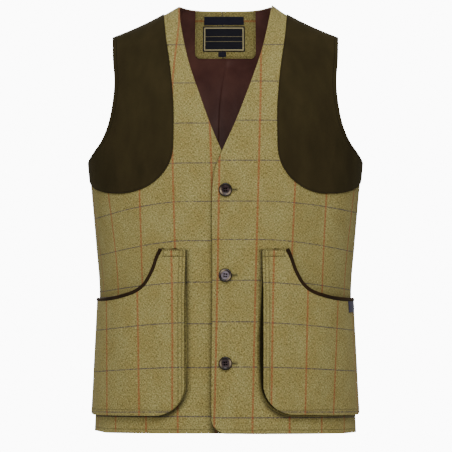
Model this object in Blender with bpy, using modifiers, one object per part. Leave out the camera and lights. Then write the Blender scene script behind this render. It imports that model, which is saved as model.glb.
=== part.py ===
"""A tweed shooting gilet, filled out as when worn: two fronts, a back, shoulder patches, bellows
pockets with bound mouths, a neck facing with its labels, a back lining and three horn buttons.

Sizes are in millimetres and turned to metres where a point is placed. X runs to the wearer's left,
Y to the back and Z up. The origin lies midway between the shoulder seams, where the garment hangs
on its wearer. A place on the cloth is given as seen square from the front: how far across, how
high, and on which face. The form gives its depth.
"""

import math

import bmesh
import bpy
from mathutils import Matrix, Vector

MM = 0.001

FRONT = -1
BACK = 1
WEARER_LEFT = 1
WEARER_RIGHT = -1

# Cloth thicknesses and gaps
TWEED = 2.2
PATCH_CLOTH = 1.2
POCKET_CLOTH = 2.0
GUSSET_CLOTH = 1.5
LINING_CLOTH = 0.8
LABEL_CLOTH = 0.6
SEAM_GAP = 0.3
LAY_GAP = 0.5
PATCH_GAP = 0.7
TUCK_GAP = 1.0
FACING_GAP = 0.9

# Length and shoulder
HEM = -656.0
HEM_RISE_AT_SIDE = 3.5
HEM_RISES_FROM = 0.9
NECK_HALF = 73.6
NECK_POINT = 24.6
SHOULDER_SLOPE = 0.47
SHOULDER_TIP_ACROSS = 180.4
BACK_NECK_CENTRE = 16.5
BACK_NECK_CURVE = 3.2
NECK_CROWN = 12.0
UNDERARM = -225.0

# The shoulder rounds over from its seam within this fall
FRONT_ROUND = 170.0
BACK_ROUND = 160.0

# Squareness of the body's sections: 2 is an ellipse
SQUARENESS = 2.15

# The body's sections. Above the underarm they are the form that the armholes are cut from.
BODY_COLUMNS = ("height", "half_width", "front", "back")
BODY = (
    (-660, 208.6, 124, 112),
    (-560, 205.0, 127, 110),
    (-432, 200.8, 130, 106),
    (-354, 206.4, 132, 107),
    (-278, 213.0, 131, 111),
    (-225, 218.4, 127, 113),
    (-150, 222.6, 117, 112),
    (-75, 223.5, 101, 102),
    (0, 222.0, 83, 85),
    (60, 218.0, 70, 72),
)

# Armhole edge, the same on fronts and back
ARMHOLE_COLUMNS = ("height", "across")
ARMHOLE = (
    (-225.0, 218.4),
    (-219.0, 216.0),
    (-209.0, 210.6),
    (-191.0, 199.2),
    (-172.0, 189.6),
    (-153.0, 184.0),
    (-125.0, 179.2),
    (-95.0, 177.0),
    (-60.0, 179.6),
    (-25.6, 180.4),
)

# Inner edges of the two fronts, from the hem up the centre and along the V to the neck point.
# The left front lies on top; the right one runs on under it by as much as it is seen to.
EDGE_COLUMNS = ("height", "across")
LEFT_FRONT_EDGE = (
    (-660.0, -22.0),
    (-600.0, -22.6),
    (-417.0, -20.8),
    (-275.0, -21.2),
    (-237.0, -17.2),
    (-205.6, -5.6),
    (-156.6, 16.6),
    (-90.1, 42.2),
    (-37.4, 59.8),
    (24.6, 73.6),
)
RIGHT_FRONT_EDGE = (
    (-660.0, 21.0),
    (-300.0, 21.0),
    (-250.0, 15.0),
    (-204.3, -5.9),
    (-163.0, -23.6),
    (-108.0, -43.6),
    (-60.6, -59.4),
    (-0.8, -72.0),
    (24.6, -73.6),
)
FRONT_CORNER_RADIUS = 24.0
FRONT_CORNER_KEPT = 20.4
TUCK_STARTS = 32.0
TUCK_WIDTH = 28.0

# Shoulder patches: inner edge, then a round lower corner that rises again at the side seam
PATCH_COLUMNS = ("height", "across")
PATCH_EDGE = (
    (-195.0, 82.8),
    (-160.0, 82.2),
    (-130.0, 82.6),
    (-93.0, 85.4),
    (-58.0, 89.4),
    (-25.0, 94.4),
    (20.0, 98.8),
)
PATCH_CORNER_TOP = -195.0
PATCH_BOTTOM = -274.0
PATCH_LOWEST_ACROSS = 172.0
PATCH_RISE_AT_SIDE = 24.0
PATCH_SHARES_ROWS_FROM = 0.68

# Pockets
POCKET_INNER = {WEARER_LEFT: 59.4, WEARER_RIGHT: 63.4}
POCKET_OUTER_ANGLE = math.radians(89.0)
POCKET_TOP = -362.7
POCKET_BOTTOM = -630.2
POCKET_CORNER_RADIUS = 48.0
POCKET_SIDE_CORNER = 5.0
POCKET_TOP_WIDTH = 37.0
POCKET_STEEP_WIDTH = 68.0
MOUTH_FALL = 84.0
# The mouth past the sewn top: how far in from the pocket's inner edge, how far below its top
MOUTH_COLUMNS = ("across", "fall")
MOUTH = (
    (POCKET_TOP_WIDTH, 0.0),
    (39.5, 5.0),
    (43.5, 15.0),
    (47.2, 29.0),
    (52.2, 42.0),
    (58.7, 54.8),
    (67.3, 64.5),
    (77.9, 71.1),
    (90.0, 75.6),
    (101.0, 78.9),
    (114.0, 81.4),
    (131.0, 83.2),
    (150.0, MOUTH_FALL),
)
POCKET_SEWN_LIFT = LAY_GAP + POCKET_CLOTH
POCKET_EDGE_STAND = 9.0
POCKET_SIDE_STAND = 3.6
POCKET_FULLNESS = 7.5
POCKET_STAND_FALL = 75.0
POCKET_MIDDLE = 125.0
POCKET_MIDDLE_HEIGHT = -520.0
GUSSET_STARTS_BELOW_TOP = 42.0
GUSSET_SIDE_FIRST = 14.0
GUSSET_BELOW_MOUTH = 1.0
PIPING_RADIUS = 2.4
PIPING_SIDES = 8

# Inside the back neck
FACING_HALF_WIDTH = 50.0
FACING_BOTTOM = -57.0
FACING_ABOVE_NECK = 2.0
FACING_CORNER = 9.0
LINING_ABOVE_HEM = 26.0
LINING_IN = TWEED + LAY_GAP
FACING_IN = LINING_IN + LINING_CLOTH + FACING_GAP
FACING_CLOTH = 1.4
LABEL_IN = FACING_IN + FACING_CLOTH + SEAM_GAP
PLEAT_HALF_WIDTH = 9.0
PLEAT_DEPTH = 3.0
PLEAT_OPENS_OVER = 40.0
LABEL_COLUMNS = ("name", "left", "right", "bottom", "top")
LABELS = (
    ("label_strip", -33.0, 30.1, -1.4, 12.0),
    ("label_main", -36.0, 31.4, -44.8, -3.7),
    ("label_size", -10.9, 1.9, -53.5, -45.5),
)

# Side tab, folded over the end of the left pocket's mouth
TAB_FROM_ANGLE = math.radians(68.0)
TAB_TO_ANGLE = math.radians(79.0)
TAB_TOP = -447.5
TAB_BOTTOM = -463.5

# Buttons
BUTTON_HEIGHTS = {"button_top": -267.2, "button_middle": -403.5, "button_bottom": -544.2}
BUTTON_RADIUS = 10.75
BUTTON_SIDES = 20
BUTTON_SEAT = 0.6
# Columns: radius, height over the seat
BUTTON_PROFILE = (
    (0.0, 2.2),
    (5.4, 2.2),
    (7.4, 2.9),
    (8.8, 3.6),
    (10.0, 3.5),
    (BUTTON_RADIUS, 2.5),
    (10.2, 0.9),
    (8.2, 0.0),
    (0.0, 0.0),
)
HOLE_RADIUS = 1.2
HOLE_FROM_CENTRE = 2.7
HOLE_SIDES = 6
HOLE_CUTTER_LENGTH = 12.0

# Grid of a front and of the back: stretches of rows up the side and the armhole
# Columns: height that a stretch reaches, rows in it, the end where they are close
ROWS = (
    (-611.0, 3, "start"),
    (UNDERARM, 9, "even"),
    (-150.0, 6, "start"),
    (-95.0, 2, "even"),
    (-25.6, 7, "end"),
)
FRONT_COLUMN_COUNT = 15
BACK_NECK_COLUMNS = 4
BACK_SHOULDER_COLUMNS = 7
PATCH_CORNER_SHARE = 0.45
PATCH_CORNER_COLUMNS = 5
PATCH_SIDE_COLUMNS = 6
PATCH_LOWER_ROWS = 4
POCKET_ROWS = 11
POCKET_CORNER_COLUMNS = 6
POCKET_STEEP_COLUMNS = 5
POCKET_SIDE_COLUMNS = 9
GUSSET_INNER_STEPS = 7
GUSSET_SIDE_STEPS = 5
FACING_CORNER_COLUMNS = 3
FACING_MIDDLE_COLUMNS = 3
FACING_ROWS = 10
LABEL_GRID = (6, 4)
TAB_GRID = (3, 3)
EDGE_PASSES = 14

# Steps used to find the cloth's slope
SLOPE_ANGLE = math.radians(1.0)
SLOPE_UP = 1.0
SLOPE_DOWN = 3.0


def clear_scene():
    for thing in list(bpy.data.objects):
        bpy.data.objects.remove(thing, do_unlink=True)


def collection(name):
    made = bpy.data.collections.new(name)
    bpy.context.scene.collection.children.link(made)
    return made


def smooth(value):
    value = min(max(value, 0.0), 1.0)
    return value * value * (3.0 - 2.0 * value)


def spread(start, end, count, dense_at="even"):
    """Values from start to end in count steps, closer together at one end if asked."""
    values = []
    for step in range(count + 1):
        share = step / count
        if dense_at == "start":
            share = 1.0 - math.cos(share * math.pi / 2)
        elif dense_at == "end":
            share = math.sin(share * math.pi / 2)
        values.append(start + (end - start) * share)
    return values


def along(rows, columns, wanted, at):
    """Smooth value of one column of a table, at a value of its first column."""
    column = columns.index(wanted)
    at = min(max(at, rows[0][0]), rows[-1][0])
    last = len(rows) - 2
    lower = max(i for i in range(last + 1) if i == 0 or rows[i][0] <= at)
    slopes = []
    for i in (lower, lower + 1):
        before = rows[max(i - 1, 0)]
        after = rows[min(i + 1, len(rows) - 1)]
        slopes.append((after[column] - before[column]) / (after[0] - before[0]))
    span = rows[lower + 1][0] - rows[lower][0]
    t = (at - rows[lower][0]) / span
    start = (1 + 2 * t) * (1 - t) ** 2 * rows[lower][column]
    end = t * t * (3 - 2 * t) * rows[lower + 1][column]
    return start + end + t * (1 - t) * span * ((1 - t) * slopes[0] - t * slopes[1])


def half_width(height):
    return along(BODY, BODY_COLUMNS, "half_width", height)


def outer_edge(height):
    """Side seam, then the armhole above the underarm."""
    if height <= UNDERARM:
        return half_width(height)
    return along(ARMHOLE, ARMHOLE_COLUMNS, "across", height)


def shoulder_line(across):
    return NECK_POINT - SHOULDER_SLOPE * (abs(across) - NECK_HALF)


def form_top(across):
    """Where the form's front and back meet: the shoulder seam, rounded over inside the neck."""
    if abs(across) >= NECK_HALF:
        return shoulder_line(across)
    inside = 1.0 - (across / NECK_HALF) ** 2
    return NECK_POINT + SHOULDER_SLOPE * NECK_HALF / 2 * inside + NECK_CROWN * inside**2


def back_top(across):
    """Shoulder seam, dipping between the neck points to the back neck edge."""
    share = min(abs(across) / NECK_HALF, 1.0)
    neck = BACK_NECK_CENTRE + (NECK_POINT - BACK_NECK_CENTRE) * share**BACK_NECK_CURVE
    return min(neck, shoulder_line(across))


def hem(across):
    towards_side = abs(across) / half_width(HEM) - HEM_RISES_FROM
    return HEM + HEM_RISE_AT_SIDE * smooth(towards_side / (1.0 - HEM_RISES_FROM))


def angle_at(across, height):
    """How far round from the centre line a place lies: 90 degrees is the side seam."""
    return math.asin(min(max(across / half_width(height), -1.0), 1.0))


def form(angle, height, face):
    """The cloth's outer face, in millimetres, before it is moved out or in."""
    across = half_width(height) * math.sin(angle)
    section = max(1.0 - abs(math.sin(angle)) ** SQUARENESS, 0.0) ** (1.0 / SQUARENESS)
    fall = max(form_top(across) - height, 0.0)
    rounding = FRONT_ROUND if face == FRONT else BACK_ROUND
    share = 1.0 - min(fall / rounding, 1.0)
    depth = along(BODY, BODY_COLUMNS, "front" if face == FRONT else "back", height)
    depth *= section * math.sqrt(1.0 - share * share)
    return Vector((across, face * (SEAM_GAP / 2 + depth), height))


def outward(angle, height, face):
    """Direction that points out of the cloth."""
    low = max(angle - SLOPE_ANGLE, -math.pi / 2)
    high = min(angle + SLOPE_ANGLE, math.pi / 2)
    round_it = form(high, height, face) - form(low, height, face)
    up_it = form(angle, height + SLOPE_UP, face) - form(angle, height - SLOPE_DOWN, face)
    return (round_it.cross(up_it) * -face).normalized()


def cloth_point(across, height, face, lift=0.0):
    """A point of the garment, moved out of the cloth by lift."""
    angle = angle_at(across, height)
    return form(angle, height, face) + outward(angle, height, face) * lift


def panel_place(column, row, inner, outer, bottom, top):
    """Across and height of a place in a piece whose edges are four curves.

    The four edges depend on each other, so the place is closed in on in half steps.
    """
    height = bottom(0.0) + (top(0.0) - bottom(0.0)) * row
    for _ in range(EDGE_PASSES):
        low = angle_at(inner(height), height)
        high = angle_at(outer(height), height)
        across = half_width(height) * math.sin(low + (high - low) * column)
        height += (bottom(across) + (top(across) - bottom(across)) * row - height) / 2
    return across, height


def body_rows():
    """Shares of the way up a front or the back, from heights along its outer edge."""
    heights = [HEM]
    for upto, count, dense_at in ROWS:
        heights += spread(heights[-1], upto, count, dense_at)[1:]
    tip = shoulder_line(SHOULDER_TIP_ACROSS)
    return [min((height - HEM) / (tip - HEM), 1.0) for height in heights]


def material(name, colour, roughness, metallic=0.0):
    made = bpy.data.materials.new(name)
    made.use_nodes = True
    shader = made.node_tree.nodes["Principled BSDF"]
    shader.inputs["Base Color"].default_value = (*colour, 1.0)
    shader.inputs["Roughness"].default_value = roughness
    shader.inputs["Metallic"].default_value = metallic
    made.diffuse_color = (*colour, 1.0)
    return made


def add_object(name, mesh, finish, group, smooth_angle=40.0):
    data = bpy.data.meshes.new(name)
    mesh.to_mesh(data)
    mesh.free()
    data.materials.append(finish)
    data.shade_smooth()
    data.set_sharp_from_angle(angle=math.radians(smooth_angle))
    made = bpy.data.objects.new(name, data)
    group.objects.link(made)
    return made


def cloth(name, columns, rows, place, thickness, finish, group, centre=None, keep_to=None):
    """One piece of cloth: a grid laid by place(column, row), with its wall on the inside.

    Its outside looks away from centre, or from the garment's middle. A piece that ends at the
    side and shoulder seams keeps to the front or the back of them.
    """
    mesh = bmesh.new()
    across_count, up_count = len(columns) - 1, len(rows) - 1
    bmesh.ops.create_grid(mesh, x_segments=across_count, y_segments=up_count, size=0.5)
    for vertex in mesh.verts:
        i = round((vertex.co.x + 0.5) * across_count)
        j = round((vertex.co.y + 0.5) * up_count)
        vertex.co = place(columns[i], rows[j])
    mesh.normal_update()
    facing = 0.0
    for face in mesh.faces:
        middle = face.calc_center_median()
        away = middle - (centre if centre else Vector((0.0, 0.0, middle.z)))
        facing += face.normal.dot(away.normalized()) * face.calc_area()
    if facing < 0.0:
        bmesh.ops.reverse_faces(mesh, faces=mesh.faces[:])
    bmesh.ops.solidify(mesh, geom=mesh.faces[:], thickness=thickness)
    if keep_to:
        for vertex in mesh.verts:
            clear = max(abs(vertex.co.y), SEAM_GAP / 2)
            vertex.co.y = keep_to * (clear if vertex.co.y * keep_to > 0 else SEAM_GAP / 2)
    bmesh.ops.scale(mesh, verts=mesh.verts[:], vec=(MM, MM, MM))
    return add_object(name, mesh, finish, group)


def front_edge(table, side):
    """Inner edge of a front, with the round corner at the hem."""

    def edge(height):
        across = along(table, EDGE_COLUMNS, "across", height)
        above = min(max(height - HEM, 0.0), FRONT_CORNER_RADIUS)
        reach = FRONT_CORNER_RADIUS**2 - (FRONT_CORNER_RADIUS - above) ** 2
        cut = FRONT_CORNER_RADIUS - math.sqrt(reach)
        return across + side * min(cut, FRONT_CORNER_KEPT)

    return edge


LEFT_EDGE = front_edge(LEFT_FRONT_EDGE, WEARER_LEFT)
RIGHT_EDGE = front_edge(RIGHT_FRONT_EDGE, WEARER_RIGHT)


def tuck(across, height):
    """How far in the right front lies, where it runs under the left one."""
    over = along(LEFT_FRONT_EDGE, EDGE_COLUMNS, "across", height)
    return (TWEED + TUCK_GAP) * smooth((across - over + TUCK_STARTS) / TUCK_WIDTH)


def make_front(name, side, edge, finish, group):
    def place(column, row):
        across, height = panel_place(
            column, row, edge, lambda h: side * outer_edge(h), hem, shoulder_line
        )
        lift = -tuck(across, height) if side == WEARER_RIGHT else 0.0
        return cloth_point(across, height, FRONT, lift)

    columns = spread(0.0, 1.0, FRONT_COLUMN_COUNT)
    return cloth(name, columns, body_rows(), place, TWEED, finish, group, keep_to=FRONT)


def back_columns():
    """Column shares of the back, with one at each neck point."""
    neck = angle_at(NECK_HALF, NECK_POINT)
    tip = angle_at(SHOULDER_TIP_ACROSS, shoulder_line(SHOULDER_TIP_ACROSS))
    half = spread(0.0, neck / tip, BACK_NECK_COLUMNS)
    half += spread(neck / tip, 1.0, BACK_SHOULDER_COLUMNS)[1:]
    return [0.5 - 0.5 * share for share in reversed(half[1:])] + [
        0.5 + 0.5 * share for share in half
    ]


def back_place(column, row):
    return panel_place(column, row, lambda h: -outer_edge(h), outer_edge, hem, back_top)


def make_back(finish, group):
    def place(column, row):
        return cloth_point(*back_place(column, row), BACK)

    return cloth("back", back_columns(), body_rows(), place, TWEED, finish, group, keep_to=BACK)


def make_lining(finish, group):
    """Lining of the back, bagged to the neck and armholes, with a pleat down its middle."""

    def place(column, row):
        across, height = back_place(column, row)
        below = smooth((FACING_BOTTOM - height) / PLEAT_OPENS_OVER)
        pleat = PLEAT_DEPTH * below * smooth(1.0 - abs(across) / PLEAT_HALF_WIDTH)
        return cloth_point(across, height, BACK, -LINING_IN - pleat)

    columns = back_columns()
    pleat_share = PLEAT_HALF_WIDTH / (2.0 * half_width(UNDERARM))
    columns = sorted(columns + [0.5 - pleat_share, 0.5 + pleat_share])
    first = LINING_ABOVE_HEM / (shoulder_line(SHOULDER_TIP_ACROSS) - HEM)
    rows = [first] + [row for row in body_rows() if row > first]
    return cloth("back_lining", columns, rows, place, LINING_CLOTH, finish, group, keep_to=BACK)


def make_patch(name, side, finish, group):
    lowest_angle = angle_at(PATCH_LOWEST_ACROSS, PATCH_BOTTOM)

    def bottom(across):
        across = abs(across)
        if across < PATCH_LOWEST_ACROSS:
            inner = along(PATCH_EDGE, PATCH_COLUMNS, "across", PATCH_CORNER_TOP)
            share = min((PATCH_LOWEST_ACROSS - across) / (PATCH_LOWEST_ACROSS - inner), 1.0)
            depth = PATCH_CORNER_TOP - PATCH_BOTTOM
            return PATCH_CORNER_TOP - depth * math.sqrt(1.0 - share * share)
        turned = angle_at(across, PATCH_BOTTOM) - lowest_angle
        return PATCH_BOTTOM + PATCH_RISE_AT_SIDE * (turned / (math.pi / 2 - lowest_angle)) ** 2

    def inner(height):
        return side * along(PATCH_EDGE, PATCH_COLUMNS, "across", height)

    def top(row):
        """Line across the front at one of its own rows."""
        return lambda across: hem(across) + (shoulder_line(across) - hem(across)) * row

    def place(column, row):
        low, high = (bottom, top(joining)) if row < 0.0 else (top(0.0), top(1.0))
        share = row + 1.0 if row < 0.0 else row
        across, height = panel_place(
            column, share, inner, lambda h: side * outer_edge(h), low, high
        )
        return cloth_point(across, height, FRONT, PATCH_GAP + PATCH_CLOTH)

    # Rows below zero are shares of the stretch between the patch's lower edge and the first
    # row that it shares with the front, so that the two lie parallel over the shoulder.
    shared = [row for row in body_rows() if row > PATCH_SHARES_ROWS_FROM]
    joining = shared[0]
    columns = spread(0.0, PATCH_CORNER_SHARE, PATCH_CORNER_COLUMNS, "start")
    columns += spread(PATCH_CORNER_SHARE, 1.0, PATCH_SIDE_COLUMNS)[1:]
    rows = spread(-1.0, 0.0, PATCH_LOWER_ROWS)[:-1] + shared
    return cloth(name, columns, rows, place, PATCH_CLOTH, finish, group, keep_to=FRONT)


class Pocket:
    """One bellows pocket: where its edges run and how far it stands off the front."""

    def __init__(self, side):
        self.side = side
        self.inner = POCKET_INNER[side]

    def outer(self, height):
        return half_width(height) * math.sin(POCKET_OUTER_ANGLE)

    def top(self, across):
        """Straight sewn top, then the hollow curve of the mouth."""
        return POCKET_TOP - along(MOUTH, MOUTH_COLUMNS, "fall", abs(across) - self.inner)

    def bottom(self, across):
        in_from_edge = max(abs(across) - self.inner, 0.0)
        if in_from_edge < POCKET_CORNER_RADIUS:
            reach = POCKET_CORNER_RADIUS - in_from_edge
            rise = POCKET_CORNER_RADIUS - math.sqrt(POCKET_CORNER_RADIUS**2 - reach**2)
            return POCKET_BOTTOM + rise
        from_side = max(self.outer(POCKET_BOTTOM) - abs(across), 0.0)
        reach = max(POCKET_SIDE_CORNER - from_side, 0.0)
        return POCKET_BOTTOM + POCKET_SIDE_CORNER - math.sqrt(POCKET_SIDE_CORNER**2 - reach**2)

    def lift(self, across, height):
        """Height of the pocket's outside over the front."""
        angle = abs(angle_at(across, height))
        start = angle_at(self.inner, height)
        round_it = min(max((angle - start) / (POCKET_OUTER_ANGLE - start), 0.0), 1.0)
        down_it = (POCKET_TOP - height) / (POCKET_TOP - POCKET_BOTTOM)
        stand = POCKET_EDGE_STAND + (POCKET_SIDE_STAND - POCKET_EDGE_STAND) * smooth(round_it)
        full = POCKET_FULLNESS * math.sin(math.pi * round_it) * math.sin(math.pi * down_it)
        opened = smooth((POCKET_TOP - height) / POCKET_STAND_FALL)
        return POCKET_SEWN_LIFT + stand * opened + max(full, 0.0)

    def point(self, across, height, above=0.0):
        lift = self.lift(across, height) + above
        return cloth_point(self.side * abs(across), height, FRONT, lift)

    def columns(self):
        """Column shares, closer together at the round corner and where the mouth is steep."""
        high = POCKET_OUTER_ANGLE
        angles = [angle_at(self.inner, POCKET_TOP)]
        for width, count in (
            (POCKET_TOP_WIDTH, POCKET_CORNER_COLUMNS),
            (POCKET_STEEP_WIDTH, POCKET_STEEP_COLUMNS),
        ):
            angle = angle_at(self.inner + width, POCKET_TOP)
            angles += spread(angles[-1], angle, count, "start")[1:]
        angles += spread(angles[-1], high, POCKET_SIDE_COLUMNS)[1:]
        return [(angle - angles[0]) / (high - angles[0]) for angle in angles]

    def along_edge(self, edge):
        """Places along the bag's top or bottom, at its columns."""
        return [
            panel_place(column, 0.0, lambda h: self.inner, self.outer, edge, edge)
            for column in self.columns()
        ]

    def centre(self):
        return cloth_point(self.side * POCKET_MIDDLE, POCKET_MIDDLE_HEIGHT, FRONT)


def make_pocket(name, pocket, finish, group):
    side = pocket.side

    def place(column, row):
        across, height = panel_place(
            column,
            row,
            lambda h: side * pocket.inner,
            lambda h: side * pocket.outer(h),
            pocket.bottom,
            pocket.top,
        )
        return pocket.point(across, height)

    rows = spread(0.0, 1.0, POCKET_ROWS)
    return cloth(name, pocket.columns(), rows, place, POCKET_CLOTH, finish, group)


def gusset_path(pocket):
    """Places round the bag from below its sewn top to the side seam's end of the mouth."""
    corner_height = POCKET_BOTTOM + POCKET_CORNER_RADIUS
    mouth_end = pocket.top(pocket.outer(POCKET_TOP - MOUTH_FALL)) - GUSSET_BELOW_MOUTH
    path = []
    inner_top = POCKET_TOP - GUSSET_STARTS_BELOW_TOP
    for height in spread(inner_top, corner_height, GUSSET_INNER_STEPS)[:-1]:
        path.append((pocket.inner, height))
    path += pocket.along_edge(pocket.bottom)
    side_bottom = POCKET_BOTTOM + GUSSET_SIDE_FIRST
    for height in spread(side_bottom, mouth_end, GUSSET_SIDE_STEPS):
        path.append((pocket.outer(height), height))
    return path


def make_gusset(name, pocket, finish, group):
    path = gusset_path(pocket)

    def place(column, row):
        across, height = path[column]
        low = LAY_GAP
        high = pocket.lift(across, height) - POCKET_CLOTH - LAY_GAP
        return cloth_point(pocket.side * across, height, FRONT, low + (high - low) * row)

    columns = list(range(len(path)))
    return cloth(
        name, columns, [0.0, 1.0], place, GUSSET_CLOTH, finish, group, centre=pocket.centre()
    )


def make_piping(name, pocket, finish, group):
    """Bound edge of the mouth: a round cord just past the pocket's edge."""
    clear = PIPING_RADIUS + LAY_GAP
    places = pocket.along_edge(pocket.top)[POCKET_CORNER_COLUMNS:]
    edge = []
    for across, height in places:
        lift = max(pocket.lift(across, height) - POCKET_CLOTH / 2, clear)
        edge.append(cloth_point(pocket.side * across, height, FRONT, lift))
    points = []
    for i, (across, height) in enumerate(places):
        along_it = edge[min(i + 1, len(edge) - 1)] - edge[max(i - 1, 0)]
        out = outward(angle_at(pocket.side * across, height), height, FRONT)
        away = (out.cross(along_it) * pocket.side).normalized()
        points.append(edge[i] + away * clear)
    curve = bpy.data.curves.new(name, "CURVE")
    curve.dimensions = "3D"
    curve.bevel_depth = PIPING_RADIUS * MM
    curve.bevel_resolution = (PIPING_SIDES - 4) // 2
    curve.use_fill_caps = True
    spline = curve.splines.new("POLY")
    spline.points.add(len(points) - 1)
    for place, point in zip(spline.points, points):
        place.co = (*(point * MM), 1.0)
    curve.materials.append(finish)
    made = bpy.data.objects.new(name, curve)
    group.objects.link(made)
    return made


def inside_neck_point(across, height, inward):
    return cloth_point(across, height, BACK, -inward)


def make_facing(finish, group):
    """Tweed facing inside the back neck, with two round lower corners."""

    def bottom(across):
        from_side = max(FACING_HALF_WIDTH - abs(across), 0.0)
        reach = max(FACING_CORNER - from_side, 0.0)
        return FACING_BOTTOM + FACING_CORNER - math.sqrt(FACING_CORNER**2 - reach**2)

    def place(column, row):
        low, high = bottom(column), back_top(column) + FACING_ABOVE_NECK
        return inside_neck_point(column, low + (high - low) * row, FACING_IN)

    straight = FACING_HALF_WIDTH - FACING_CORNER
    half = spread(FACING_HALF_WIDTH, straight, FACING_CORNER_COLUMNS, "start")
    half += spread(straight, 0.0, FACING_MIDDLE_COLUMNS)[1:]
    columns = [-x for x in half] + half[::-1][1:]
    rows = spread(0.0, 1.0, FACING_ROWS)
    return cloth("neck_facing", columns, rows, place, FACING_CLOTH, finish, group, keep_to=BACK)


def make_label(row, finish, group):
    label = dict(zip(LABEL_COLUMNS, row))

    def place(across, height):
        return inside_neck_point(across, height, LABEL_IN)

    columns = spread(label["left"], label["right"], LABEL_GRID[0])
    rows = spread(label["bottom"], label["top"], LABEL_GRID[1])
    return cloth(label["name"], columns, rows, place, LABEL_CLOTH, finish, group, keep_to=BACK)


def make_side_tab(pocket, finish, group):
    def place(angle, height):
        across = half_width(height) * math.sin(angle)
        return pocket.point(across, height, SEAM_GAP + LABEL_CLOTH)

    columns = spread(TAB_FROM_ANGLE, TAB_TO_ANGLE, TAB_GRID[0])
    rows = spread(TAB_BOTTOM, TAB_TOP, TAB_GRID[1])
    return cloth("side_tab", columns, rows, place, LABEL_CLOTH, finish, group)


def button_mesh(finish, cutters):
    """A horn button with a raised rim, turned from its profile, with four holes."""
    profile = bpy.data.meshes.new("button_profile")
    points = [(radius * MM, 0.0, height * MM) for radius, height in BUTTON_PROFILE]
    edges = [(i, i + 1) for i in range(len(points) - 1)]
    profile.from_pydata(points, edges, [])
    turned = bpy.data.objects.new("button_blank", profile)
    cutters.objects.link(turned)
    screw = turned.modifiers.new("turn", "SCREW")
    screw.steps = screw.render_steps = BUTTON_SIDES
    screw.use_merge_vertices = True
    screw.merge_threshold = 1e-5

    holes = bmesh.new()
    for turn in range(4):
        quarter = math.pi / 4 + turn * math.pi / 2
        bmesh.ops.create_cone(
            holes,
            cap_ends=True,
            segments=HOLE_SIDES,
            radius1=HOLE_RADIUS * MM,
            radius2=HOLE_RADIUS * MM,
            depth=HOLE_CUTTER_LENGTH * MM,
            matrix=Matrix.Translation(
                Vector((math.cos(quarter), math.sin(quarter), 0.0)) * HOLE_FROM_CENTRE * MM
            ),
        )
    cutter = add_object("button_holes", holes, finish, cutters)
    cut = turned.modifiers.new("holes", "BOOLEAN")
    cut.operation = "DIFFERENCE"
    cut.object = cutter
    for helper in (turned, cutter):
        helper.hide_render = True
        helper.display_type = "WIRE"
    graph = bpy.context.evaluated_depsgraph_get()
    graph.update()
    made = bpy.data.meshes.new_from_object(turned.evaluated_get(graph))
    made.materials.clear()
    made.materials.append(finish)
    bpy.data.objects.remove(turned, do_unlink=True)
    bpy.data.objects.remove(cutter, do_unlink=True)
    return made


def make_buttons(finish, group, cutters):
    mesh = button_mesh(finish, cutters)
    for name, height in BUTTON_HEIGHTS.items():
        button = bpy.data.objects.new(name, mesh)
        group.objects.link(button)
        facing = outward(0.0, height, FRONT)
        button.rotation_mode = "QUATERNION"
        button.rotation_quaternion = facing.to_track_quat("Z", "Y")
        button.location = (form(0.0, height, FRONT) + facing * BUTTON_SEAT) * MM


def main():
    clear_scene()
    parts = collection("tweed_gilet")
    cutters = collection("cutters")
    tweed = material("tweed", (0.27, 0.23, 0.09), 0.92)
    moleskin = material("moleskin", (0.032, 0.024, 0.010), 0.88)
    binding = material("binding", (0.022, 0.012, 0.005), 0.7)
    satin = material("satin", (0.048, 0.020, 0.016), 0.4)
    woven = material("woven_label", (0.010, 0.010, 0.018), 0.7)
    horn = material("horn", (0.020, 0.013, 0.012), 0.22)

    make_front("front_left", WEARER_LEFT, LEFT_EDGE, tweed, parts)
    make_front("front_right", WEARER_RIGHT, RIGHT_EDGE, tweed, parts)
    make_back(tweed, parts)
    make_lining(satin, parts)
    make_facing(tweed, parts)
    for row in LABELS:
        make_label(row, woven, parts)
    for word, side in (("left", WEARER_LEFT), ("right", WEARER_RIGHT)):
        pocket = Pocket(side)
        make_patch("shoulder_patch_" + word, side, moleskin, parts)
        make_pocket("pocket_" + word, pocket, tweed, parts)
        make_gusset("pocket_gusset_" + word, pocket, tweed, parts)
        make_piping("pocket_piping_" + word, pocket, binding, parts)
    make_side_tab(Pocket(WEARER_LEFT), woven, parts)
    make_buttons(horn, parts, cutters)


main()
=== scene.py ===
# %% [markdown]
# # A tweed shooting gilet
#
# A gilet is a sleeveless coat. This one is cut in tweed with a windowpane check, has a patch of
# moleskin over each shoulder to take the gun, two bellows pockets with bound mouths for
# cartridges, and three horn buttons. It is shown filled out, as if someone wore it.
#
# Nothing here is a lump with a cloth picture on it. Each piece that a maker cuts is a thin shell
# of its own, laid on one shared body form, so that the pieces lie on each other as they are sewn.

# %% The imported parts
import math

import bmesh
import bpy
from mathutils import Matrix, Vector


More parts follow.
